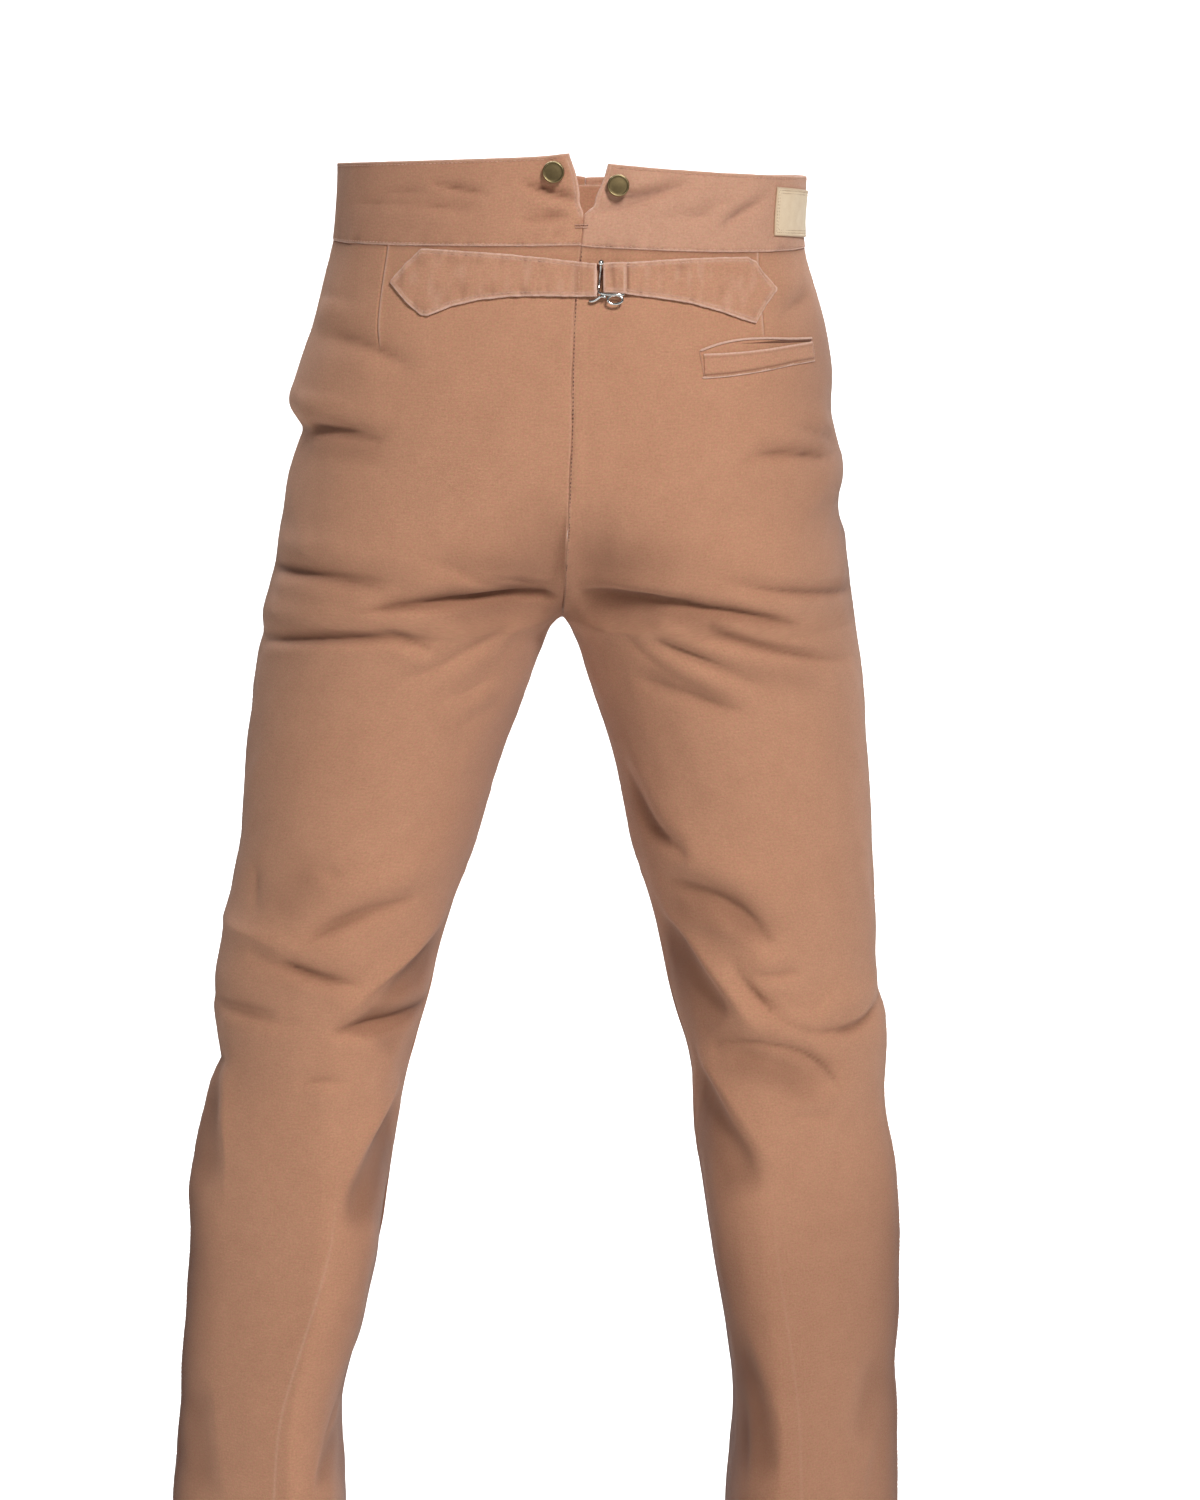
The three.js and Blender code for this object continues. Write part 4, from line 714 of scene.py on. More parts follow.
class Finish:
    """A material and short words for building its nodes."""

    def __init__(self, name):
        self.material = bpy.data.materials.new(name)
        self.material.use_nodes = True
        self.tree = self.material.node_tree
        self.shader = self.tree.nodes["Principled BSDF"]

    def add(self, kind, inputs=None, **settings):
        node = self.tree.nodes.new("ShaderNode" + kind)
        for key, value in settings.items():
            setattr(node, key, value)
        for key, value in (inputs or {}).items():
            self.put(node, key, value)
        return node

    def put(self, node, key, value):
        socket = node.inputs[key]
        if isinstance(value, bpy.types.NodeSocket):
            self.tree.links.new(value, socket)
        else:
            socket.default_value = value

    def math(self, operation, a, b=0.0):
        return self.add("Math", {0: a, 1: b}, operation=operation).outputs[0]

    def attribute(self, name, output):
        return self.add("Attribute", attribute_name=name).outputs[output]

    def scaled(self, vector, x, y):
        return self.add("VectorMath", {0: vector, 1: (x, y, 1.0)}, operation="MULTIPLY").outputs[0]

    def noise(self, vector, scale=1.0, detail=2.0, roughness=0.5):
        inputs = {"Vector": vector, "Scale": scale, "Detail": detail, "Roughness": roughness}
        return self.add("TexNoise", inputs).outputs["Fac"]

    def mix(self, share, a, b):
        return self.add("Mix", {0: share, 6: a, 7: b}, data_type="RGBA").outputs[2]

    def span(self, value, low, high, to_low=0.0, to_high=1.0):
        """Brings a value from one range to another, held at its ends."""
        inputs = {"Value": value, "From Min": low, "From Max": high, "To Min": to_low, "To Max": to_high}
        return self.add("MapRange", inputs).outputs[0]

    def bump(self, height, distance, strength=1.0):
        inputs = {"Height": height, "Distance": distance, "Strength": strength}
        self.put(self.shader, "Normal", self.add("Bump", inputs).outputs[0])

    def plain(self, **values):
        for key, value in values.items():
            self.shader.inputs[key.replace("_", " ")].default_value = value


THREAD_PITCH = 0.62  # mm between two threads of the canvas
PAINTED_SHADE_AND_MOTTLE = linear(112, 72, 53)
PALE_WEAR_AND_PAINTED_LIGHT = linear(232, 195, 177)


def canvas_finish(name, light, dark):
    """Washed cotton canvas: a plain weave with slubs, mottled dye, worn edges, some painted light, and
    painted shade in troughs and hollows.
    """
    f = Finish(name)
    at = f.attribute("weave", "Vector")
    wear_and_painted_light = f.attribute("wear_and_painted_light", "Fac")
    deep = f.attribute("deep", "Fac")
    clouds = f.noise(at, 1 / 85, 3.0, 0.55)
    patches = f.noise(at, 1 / 16, 3.0, 0.6)
    slubs = f.noise(f.scaled(at, 1 / 7, 1 / 1.1), 1.0, 3.0, 0.65)
    upright = f.noise(f.scaled(at, 1 / 1.2, 1 / 9), 1.0, 2.0, 0.6)
    grain = f.noise(at, 1 / 1.5, 3.0, 0.75)
    shade = 0.5
    for noise, reach in ((clouds, 0.10), (patches, 0.10), (slubs, 0.16), (upright, 0.08), (grain, 0.42)):
        shade = f.math("ADD", f.span(noise, 0.3, 0.7, -reach, reach), shade)
    colour = f.mix(shade, dark, light)
    heather = f.noise(f.scaled(at, 1 / 2.4, 1 / 1.3), 1.0, 2.0, 0.6)
    colour = f.mix(f.span(heather, 0.5, 0.7, 0.0, 0.65), colour, linear(200, 134, 112))
    colour = f.mix(f.span(heather, 0.5, 0.3, 0.0, 0.55), colour, linear(188, 150, 106))
    # darkens the colour: painted shade in folds, hollows and grooves, with some mottled dye
    colour = f.mix(f.math("MULTIPLY", deep, 0.8), colour, PAINTED_SHADE_AND_MOTTLE)
    # pales the colour: worn edges and creases, with some painted light
    rubbed_and_painted_light = f.math("MULTIPLY", wear_and_painted_light, f.span(f.noise(at, 1 / 2.6, 3.0, 0.7), 0.25, 0.6, 0.35, 1.0))
    colour = f.mix(rubbed_and_painted_light, colour, PALE_WEAR_AND_PAINTED_LIGHT)
    f.put(f.shader, "Base Color", colour)
    # plain weave: over one, under one
    cells = f.scaled(at, 1 / THREAD_PITCH, 1 / THREAD_PITCH)
    parts = f.add("SeparateXYZ", {0: cells}).outputs
    over = f.add("TexChecker", {"Vector": cells, "Scale": 1.0}).outputs["Fac"]
    weave = f.add("Mix", {0: over}, data_type="FLOAT")
    for socket, part in ((2, parts[0]), (3, parts[1])):
        f.put(weave, socket, f.math("ABSOLUTE", f.math("SINE", f.math("MULTIPLY", part, math.pi))))
    height = f.math("ADD", f.math("MULTIPLY", weave.outputs[0], 0.55), f.math("MULTIPLY", slubs, 0.9))
    height = f.math("ADD", height, f.math("MULTIPLY", grain, 0.5))
    f.bump(height, 0.00028, 0.75)
    f.plain(Roughness=0.9, Sheen_Weight=0.1, Sheen_Roughness=0.5, Specular_IOR_Level=0.25)
    return f.material


def thread_finish(name, light, dark):
    """Cotton thread, twisted."""
    f = Finish(name)
    at = f.attribute("weave", "Vector")
    twist = f.add("TexWave", {"Vector": at, "Scale": 1.4, "Distortion": 1.0}, bands_direction="DIAGONAL")
    uneven = f.noise(at, 1 / 9, 2.0)
    colour = f.mix(f.span(uneven, 0.3, 0.7), dark, light)
    f.put(f.shader, "Base Color", colour)
    f.bump(twist.outputs["Fac"], 0.0001, 0.8)
    f.plain(Roughness=0.75, Sheen_Weight=0.2)
    return f.material


def leather_finish():
    """A pale hide patch with a fine grain, rubbed darker at its edges."""
    f = Finish("patch_leather")
    at = f.attribute("weave", "Vector")
    wear_and_painted_light = f.attribute("wear_and_painted_light", "Fac")
    cloud = f.noise(at, 1 / 11, 4.0, 0.6)
    grain = f.add("TexVoronoi", {"Vector": at, "Scale": 1.1}, feature="DISTANCE_TO_EDGE").outputs["Distance"]
    fibre = f.noise(f.scaled(at, 1 / 3, 1 / 0.8), 1.0, 3.0, 0.6)
    colour = f.mix(f.span(cloud, 0.3, 0.7), linear(228, 204, 172), linear(238, 217, 187))
    colour = f.mix(f.span(fibre, 0.35, 0.65, 0, 0.12), colour, linear(200, 170, 136))
    colour = f.mix(f.math("MULTIPLY", wear_and_painted_light, 0.6), colour, linear(176, 140, 106))
    f.put(f.shader, "Base Color", colour)
    height = f.math("ADD", f.span(grain, 0.0, 0.25), f.math("MULTIPLY", fibre, 0.6))
    f.bump(height, 0.00018, 0.6)
    f.plain(Roughness=0.62, Specular_IOR_Level=0.4)
    return f.material


def metal_finish(name, bright, dull, roughness, spots, bump=0.00003):
    """Plated wire or a stamped button: bright on its rubbed edges, duller and spotted elsewhere."""
    f = Finish(name)
    place = f.add("TexCoord").outputs["Object"]
    wear_and_painted_light = f.attribute("wear_and_painted_light", "Fac")
    cloud = f.noise(place, 420.0, 3.0, 0.6)
    fine = f.noise(place, 2600.0, 2.0, 0.7)
    colour = f.mix(f.span(cloud, 0.35, 0.65, 0.0, spots), bright, dull)
    colour = f.mix(wear_and_painted_light, colour, bright)
    f.put(f.shader, "Base Color", colour)
    rough = f.math("ADD", f.span(fine, 0.3, 0.7, -0.08, 0.08), roughness)
    f.put(f.shader, "Roughness", f.math("SUBTRACT", rough, f.math("MULTIPLY", wear_and_painted_light, 0.12)))
    f.bump(fine, bump, 0.5)
    f.plain(Metallic=1.0)
    return f.material


canvas = canvas_finish("canvas", linear(206, 153, 122), linear(177, 126, 97))
band_canvas = canvas_finish("canvas_trim", linear(210, 157, 127), linear(178, 127, 99))
thread = thread_finish("thread", linear(218, 172, 148), linear(186, 136, 110))
# painted shade: stitches darkened where they sit in the centre seam's shadow
thread_in_painted_shade = thread_finish("thread_painted_shade", linear(132, 92, 70), linear(104, 70, 52))
tan_thread = thread_finish("thread_tan", linear(186, 142, 100), linear(160, 118, 80))
leather = leather_finish()
nickel = metal_finish("nickel_wire", linear(232, 232, 228), linear(150, 148, 146), 0.2, 0.6)
brass = metal_finish("aged_brass", linear(150, 134, 98), linear(88, 76, 52), 0.45, 0.8, 0.00004)
brass_face = metal_finish("aged_brass_face", linear(108, 94, 66), linear(88, 74, 52), 0.52, 0.4, 0.00003)


# ---- Stitches -----------------------------------------------------------------------------------
STITCH = {"pitch": 3.1, "length": 2.3, "thick": 0.62}
STITCH_SIDES = 6
STITCH_FLAT = 0.8  # its height over its width
STITCH_RINGS = ((0.0, 0.15, -0.25), (0.12, 0.75, 0.02), (0.32, 1.0, 0.12), (0.68, 1.0, 0.12),
                (0.88, 0.75, 0.02), (1.0, 0.15, -0.25))  # along, thickness, height, in parts


class Sewing:
    """Collects stitches and makes one piece of them."""

    def __init__(self):
        self.points, self.quads, self.count = [], [], 0

    def run(self, path, out, pitch=STITCH["pitch"], length=STITCH["length"], thick=STITCH["thick"], seed=1):
        """A line of stitches along a path of points, each lying on the cloth."""
        random = np.random.default_rng(seed)
        walked = walk(path)
        number = max(int(walked[-1] / pitch), 1)
        starts = (np.arange(number) + 0.5) * walked[-1] / number - length / 2
        starts = starts + random.uniform(-0.12, 0.12, number)
        slant = random.uniform(-0.12, 0.12, (2, number))
        first, last = between(starts, walked, path), between(starts + length, walked, path)
        up = unit(between(starts + length / 2, walked, out))
        side = unit(np.cross(last - first, up))
        first = first + side * slant[0][:, None]
        last = last + side * slant[1][:, None]
        spokes = circle(STITCH_SIDES, side, up * STITCH_FLAT) * thick / 2
        rings = []
        for share, wide, high in STITCH_RINGS:
            middle = first + (last - first) * share + up * high * thick
            rings.append(middle[:, None] + spokes * wide)
        points = np.stack(rings, 1)
        n_rings = len(STITCH_RINGS)
        index = np.arange(number * n_rings * STITCH_SIDES).reshape(number, n_rings, STITCH_SIDES)
        after = np.roll(index, -1, axis=2)
        quads = np.stack([index[:, :-1], after[:, :-1], after[:, 1:], index[:, 1:]], -1).reshape(-1, 4)
        ends = [np.stack([index[:, k, 0], index[:, k, i], index[:, k, j], index[:, k, m]], -1)
                for k in (0, n_rings - 1) for i, j, m in ((1, 2, 3), (3, 4, 5))]
        ends = [e[:, ::-1] if k < 2 else e for k, e in enumerate(ends)]
        self.quads.append(np.concatenate([quads] + ends) + self.count)
        self.points.append(points.reshape(-1, 3))
        self.count += points.size // 3

    def finish(self, name, material=None):
        points = np.concatenate(self.points)
        extra = {"weave": points * [1.0, 0.0, 0.0] + points[:, [0, 2, 1]] * [0.0, 1.0, 0.0]}
        return stand_for(make_piece(name, points, np.concatenate(self.quads), material or thread, extra))


# ---- Panels -------------------------------------------------------------------------------------
CREASE_LINE = {
    LEFT: Table("z u", [(0, 0.44), (-300, 0.45), (-560, 0.45), (-736, 0.469), (-801, 0.513),
                        (-940, 0.556), (-1110, 0.6)]),
    RIGHT: Table("z u", [(0, 0.4), (-300, 0.45), (-560, 0.5), (-800, 0.55), (-1110, 0.6)])}
DART_LINE = {
    LEFT: Table("z u", [(-41, 0.676), (-73, 0.669), (-103, 0.65), (-300, 0.68), (-1110, 0.8)]),
    RIGHT: Table("z u", [(-41, 0.69), (-73, 0.675), (-93, 0.662), (-107, 0.656), (-300, 0.68), (-1110, 0.8)])}
DART_END = {LEFT: -112, RIGHT: -106}
BACK_SPANS = [(BAND_SEAM_Z, -232, 56), (-232, -360, 72), (-360, -470, 26), (-470, -720, 104),
              (-720, -1084, 74)]       # from, to, rows
FRONT_SPANS = [(BAND_SEAM_Z, -220, 30), (-220, -360, 44), (-360, -520, 24), (-520, -720, 56),
               (-720, -1084, 60)]
HEM_NEAR = (0, 0.3, 0.9, 1.8, 3, 5, 8, 12, 16, 18.6, 20, 21.2, 22.4, 24, 26)  # mm above the hem
HEM_DEEP = 20.0              # mm, the height of the turned-up hem
HEM_STITCH = HEM_DEEP - 1.4  # mm, the height of its stitches
FLY_LINE = {"wide": 38.0, "straight": -150.0, "end": -196.0}  # the fly's stitching, mm off the centre
SIDE_ALLOWANCE = {"wide": 9, False: 0.5, True: 0.15}     # mm wide, and high on a back and a front
CENTRE_ALLOWANCE = {"wide": 7, LEFT: 0.15, RIGHT: 0.45}  # mm wide, and high on each side
PRESSED_WEAR = {LEFT: 0.2, RIGHT: 0.07}  # how rubbed the pressed creases are
CALF_Z = -640                            # below this the painted shade on the legs grows
# How much painted shade the legs get, darker towards their sides: along the side seam, on the calf, how much
# wider the shaded inside of the leg is there, and beside the hips.
LEG_SHADE_PAINT = {
    LEFT: {"outer": 0.62, "calf": 0.0, "wider": 0.1, "hips": 0.0},
    RIGHT: {"outer": 0.4, "calf": 0.26, "wider": 0.16, "hips": 0.55}}
# painted shade under the round of the seat: its height, reach, place across, width and strength
UNDER_SEAT_SHADE = {"z": -262, "high": 30, "t": 0.24, "wide": 0.26, "share": 0.34}


def row_heights(spans):
    rows = [spans[0][0] - d for d in NEAR_SEAM[:-2]]
    for n, (top, bottom, count) in enumerate(spans):
        top = rows[-1] if n == 0 else top
        rows += list(top + (bottom - top) * np.arange(1, count + 1) / count)
    rows += [HEM_Z + d for d in HEM_NEAR[::-1]]
    return np.array(rows)


def column_lengths(side, front, rows):
    """Where the columns stand on each row, as lengths of cloth from the centre back."""
    ring = ROUND[side]
    first = ring.ACROSS if front else 0
    start, end = (np.array([ring.row(z)[k] for z in rows]) for k in (first, first + ring.ACROSS))
    if front:
        lines = [ring.length_at(2 - CREASE_LINE[side].at("u", rows), rows)]
        counts, nears = (22, 22), (NEAR_SEAM, NEAR_LINE, NEAR_SEAM)
    else:
        lines = [ring.length_at(t[side].at("u", rows), rows) for t in (CREASE_LINE, DART_LINE)]
        counts, nears = (38, 14, 24), (NEAR_SEAM, NEAR_LINE, NEAR_LINE, NEAR_SEAM)
    stops = [start, *lines, end]
    parts = [spread(stops[k], stops[k + 1], nears[k], nears[k + 1], n) for k, n in enumerate(counts)]
    parts = [part[:, :-1] for part in parts[:-1]] + parts[-1:]
    return np.concatenate(parts, axis=1), start, end, lines


def allowance(distance, wide):
    """The strip beside a seam that the allowances under it raise."""
    return smoothstep((distance - 0.3) / 1.0) * (1 - smoothstep((distance - wide) / 3))


def seam_relief(from_centre, from_side, z, side, front):
    """The low relief of the seams of a panel: flat allowances, puckers and the stitched hem."""
    along = ripple(21 + side, from_centre * 0.3, z, 6, 17) * PUCKER
    flat = allowance(from_side, SIDE_ALLOWANCE["wide"]) * SIDE_ALLOWANCE[front]
    flat = flat + along * np.exp(-from_side / PUCKER_REACH) * 0.7
    if not front:
        flat = flat + allowance(from_centre, CENTRE_ALLOWANCE["wide"]) * CENTRE_ALLOWANCE[side]
        flat = flat + along * np.exp(-from_centre / PUCKER_REACH) * (z > -500)
    above = z - HEM_Z
    folded = 1 - smoothstep((above - HEM_DEEP) / 3)
    stitched = bump(above - HEM_STITCH, 0.9) * 0.35
    wave = ripple(33 + side, from_side, z * 0.2, 8, 22) * bump(above - HEM_DEEP, 9)
    return flat + folded * 0.35 - stitched + wave * PUCKER


def painted_leg_shade(side, front, u, z, from_centre):
    """Painted shade inside the legs, beside the side seams, under the seat and at the crotch."""
    kept = LEG_SHADE_PAINT[side]
    t = np.where(u > 1, 2 - u, u)
    legs = smoothstep((CROTCH_Z - 20 - z) / 60)
    calf = smoothstep((CALF_Z - z) / 160)
    hips = smoothstep((-60 - z) / 60) * (1 - smoothstep((-260 - z) / 80))
    inner = (0.5 + 0.6 * calf) * bump(t, 0.17 + kept["wider"] * calf) * legs
    outer = kept["outer"] * (1 + calf) * bump(1 - t, 0.09 + 0.05 * calf) * smoothstep((-180 - z) / 80)
    total = inner + outer + kept["calf"] * calf + kept["hips"] * bump(1 - t, 0.2) * hips
    if not front:
        seat = UNDER_SEAT_SHADE
        total = total + seat["share"] * bump(z - seat["z"], seat["high"]) * bump(t - seat["t"], seat["wide"])
    return np.maximum(total, 0.5 * bump((z - CROTCH_Z) / 40, 1) * bump(from_centre, 45))


def panel(node, side, front):
    """A back or front of one side, from its seams to its hem."""
    rows = row_heights(FRONT_SPANS if front else BACK_SPANS)
    lengths, start, end, lines = column_lengths(side, front, rows)
    u = np.stack([ROUND[side].u_at(lengths[i], z) for i, z in enumerate(rows)])
    u = np.clip(u, 1 + JUST_FRONT if front else 0, 2 if front else 1)
    below_band = BAND_SEAM_Z - rows[:, None]
    above_hem = rows[:, None] - HEM_Z
    bend = np.clip((rows[:, None] - LEVEL_Z) / (BAND_SEAM_Z - LEVEL_Z), 0, 1)
    z = rows[:, None] + (BAND[side].at("seam", u) - BAND_SEAM_Z) * bend - SEAM_GAP * (below_band == 0)
    first, last = lengths - start[:, None], end[:, None] - lengths
    from_centre, from_side = (last, first) if front else (first, last)
    relief = seam_relief(from_centre, from_side, z, side, front)
    tuck = ripple(40 + side + front, lengths, z * 0.3, 9, 26) * np.exp(-below_band / 9) * 0.35
    pressed = smoothstep((-680 - z) / 140) * PRESSED_WEAR[side]
    wear_and_painted_light = np.maximum(0.12 * bump(from_centre - 0.7, 0.8) * (z > CROTCH_Z),
                      bump(lengths - lines[0][:, None], 1.1) * pressed)
    # painted shadow: a dark line just under the waistband's edge
    dull = 0.9 * np.exp(-np.abs(below_band) / 1.3)
    if front:
        relief = relief + fly_relief(side, from_centre, z)
    else:
        dart = lengths - lines[1][:, None]
        held = smoothstep((z - DART_END[side]) / 8)
        relief = relief - 0.9 * bump(dart - 0.5, 0.55) * held + 0.5 * bump(dart + 1.2, 1.3) * held
        wear_and_painted_light = np.maximum(wear_and_painted_light, 0.6 * bump(dart + 0.9, 0.7) * held)
        # painted shade in the dart's dent
        dull = np.maximum(dull, 0.5 * bump(dart - 0.6, 0.5) * held)
    out = upright_at_seam(outward(side, u, z), side, from_centre, z)
    height, line = folds_and_lines(side, u, z)
    face = cloth(side, u, z) + out * (height + relief + tuck)[..., None]
    # painted shade: in the folds' troughs and on the legs, darker towards their sides
    dull = np.maximum(dull, painted_trough_shade(height, line)) + painted_leg_shade(side, front, u, z, from_centre)
    wear_and_painted_light = np.maximum(wear_and_painted_light, 0.6 * bump(above_hem, 1.6))
    edge = least(first, last, below_band, above_hem)
    piece = shell(node + "_cloth", face, out, CANVAS, edge, canvas, (side * lengths, z), wear_and_painted_light, dull,
                  (side, from_centre))
    return stand_for(piece, node)


def painted_trough_shade(height, line):
    """Painted shade, more in the deepest part of a fold and along its thin line."""
    return np.clip((-height - 1.4) / 8, 0, 0.42) + np.clip(line * 0.28, 0, 0.42)


def fly_relief(side, from_centre, z):
    """The overlapping left front of the fly and the dent of its stitching."""
    above_end = smoothstep((z - FLY_LINE["end"]) / 6)
    if side == RIGHT:
        return -0.5 * bump(from_centre, 3) * above_end
    lap = 0.7 * (1 - smoothstep((from_centre - fly_width(z)) / 3)) * above_end
    return lap - 0.35 * bump(from_centre - fly_width(z), 0.9) * above_end


def fly_width(z):
    """How far the fly's stitching stands off the centre front."""
    down = np.clip((FLY_LINE["straight"] - z) / (FLY_LINE["straight"] - FLY_LINE["end"]), 0, 1)
    return FLY_LINE["wide"] * np.sqrt(1 - down * down)


# ---- Waistband ----------------------------------------------------------------------------------
BAND_ROW_COUNT = 18
BAND_COLUMN_COUNT = 150
BAND_MIDDLE_Z = -20.0   # the height at which lengths round the band are measured
NOTCH_REACH = 60        # mm from the notch within which the columns follow its slant
BAND_STITCH = {"seam": 1.8, "top": 2.4, "notch": 2.6}  # mm from each edge to its stitches


def band_start(side, z0):
    """u of the band's edge at the notch, or at the centre seam below it."""
    off = NOTCH[side].at("off", z0)
    return u_across(side, CENTRE.at("x", z0) + side * off, z0)


def waistband(node, side):
    """Half of the waistband, from the notch to the centre front."""
    table, ring = BAND[side], ROUND[side]
    height0 = float(table.at("top", 0) - table.at("seam", 0))
    share = spread(0.0, height0, NEAR_SEAM[:-2], NEAR_EDGE, BAND_ROW_COUNT)[0] / height0
    end = float(ring.length_at(2.0, BAND_MIDDLE_Z))
    us, lengths, begins = [], [], []
    for z0 in table.at("seam", 0) + height0 * share:
        begin = float(ring.length_at(band_start(side, z0), z0))
        length = spread(begin, end, NEAR_EDGE, NEAR_EDGE, BAND_COLUMN_COUNT)[0]
        fade = smoothstep(length / NOTCH_REACH)
        us.append(ring.u_at(length, z0) * (1 - fade) + ring.u_at(length, BAND_MIDDLE_Z) * fade)
        lengths.append(length)
        begins.append([begin])
    u, lengths, begins = np.clip(us, 0, 2), np.array(lengths), np.array(begins)
    wide = table.at("top", u) - table.at("seam", u)
    z = table.at("seam", u) + wide * share[:, None]
    low, high = share[:, None] * wide, (1 - share[:, None]) * wide
    from_notch, from_front = lengths - begins, end - lengths
    cut = (z > NOTCH_BOTTOM_Z - 2)
    stitched = bump(low - BAND_STITCH["seam"], 0.6) + bump(high - BAND_STITCH["top"], 0.6)
    stitched = 0.3 * (stitched + bump(from_notch - BAND_STITCH["notch"], 0.6) * cut)
    pucker = ripple(50 + side, lengths, z * 0.3, 7, 20) * (np.exp(-low / 5) + 0.6 * np.exp(-high / 5))
    turned = 0.35 * (1 - smoothstep((from_notch - 7) / 3)) * cut
    height, line = folds_and_lines(side, u, z)
    from_centre = np.minimum(from_notch, from_front)
    out = upright_at_seam(outward(side, u, z), side, from_centre, z)
    lift = height + BAND_PROUD + turned - stitched + 0.32 * pucker
    face = cloth(side, u, z) + out * lift[..., None]
    notch_wear = np.maximum(0.7 * bump(from_notch, 1.4), 0.35 * bump(from_notch - BAND_STITCH["notch"], 0.9))
    wear_and_painted_light = np.maximum(np.maximum(0.7 * bump(low - 0.5, 0.9), 0.5 * bump(high, 1.3)), notch_wear * cut)
    # painted shade in the folds' troughs and in the hollows of the puckers
    dull = painted_trough_shade(height, line) + np.clip(-0.35 * pucker, 0, 0.3)
    if side == LEFT:  # painted shade: darker round the side, which turns away from the light, than at the back
        dull = dull + 0.2 * smoothstep((np.minimum(u, 2 - u) - 0.2) / 0.4)
    else:
        # painted light: the right half is made paler all over, as the side that faces the light
        wear_and_painted_light = np.maximum(wear_and_painted_light, 0.2)
    piece = shell(node + "_cloth", face, out, BAND_CLOTH, least(low, high, from_notch, from_front),
                  band_canvas, (side * lengths, z), wear_and_painted_light, dull, (side, from_centre))
    return stand_for(piece, node)


# ---- Cinch straps -------------------------------------------------------------------------------
STRAP = {
    LEFT: Table("x top bottom lift", [
        (121.5, -66.5, -68.5, 0.4), (111, -54.5, -80, 0.5), (101, -44.5, -88.5, 0.6),
        (96, -44.2, -88.8, 0.6), (80, -44.8, -82, 0.6), (62, -45.6, -77.5, 0.7),
        (40, -47, -75, 0.9), (18, -49, -74.6, 1.2), (-2, -51.3, -75, 1.5),
        (-17.5, -53, -75.2, 1.8)]),
    RIGHT: Table("x top bottom lift", [
        (-21.5, -52.8, -72.5, 3.4), (-29, -52.2, -72.8, 3.8), (-36, -52.2, -73.2, 3.2),
        (-41, -52, -74, 1.8), (-60, -50.8, -76.3, 1.1), (-80, -50, -80, 0.8),
        (-100, -49.8, -86, 0.6), (-119, -50.5, -93.5, 0.6), (-124, -53.5, -95, 0.6),
        (-131, -63, -84.5, 0.5), (-138, -72.5, -74.5, 0.4)])}
STRAP_TIP = {LEFT: 121.5, RIGHT: -138}
STRAP_END = {LEFT: -17.5, RIGHT: -21.5}
STRAP_HIGH = 30.0
STRAP_STITCH = 2.6      # mm from the edge
# The end that is folded back round the bar: how far it reaches, over how much it steps down, how
# high it is, and how much, where and how wide are the dent beside it, its worn edge, also painted as a
# highlight, and its dark line of painted shade. Then the height of a bend across it, which also gets painted
# shade.
STRAP_FOLD = {
    LEFT: {"reach": 12, "over": 3, "high": 0.9, "dent": (0.8, 12, 1.4), "edge": (0.8, 1, 1),
           "line": (0.5, 13.6, 1), "bend": 0.0},
    RIGHT: {"reach": 15, "over": 1.6, "high": 1.1, "dent": (0.7, 16.2, 1.2), "edge": (0.7, 14.4, 0.8),
            "line": (0.9, 16.6, 0.9), "bend": 0.7}}
BEND_AT = 6.5           # mm from the strap's end
BEND_LEAN = 0.12        # of the bend, from upright


def outline_at(table, x):
    """Top and bottom edges with straight sides between the table's corners."""
    return [np.interp(x, table.values[:, 0], table.values[:, column]) for column in (1, 2)]


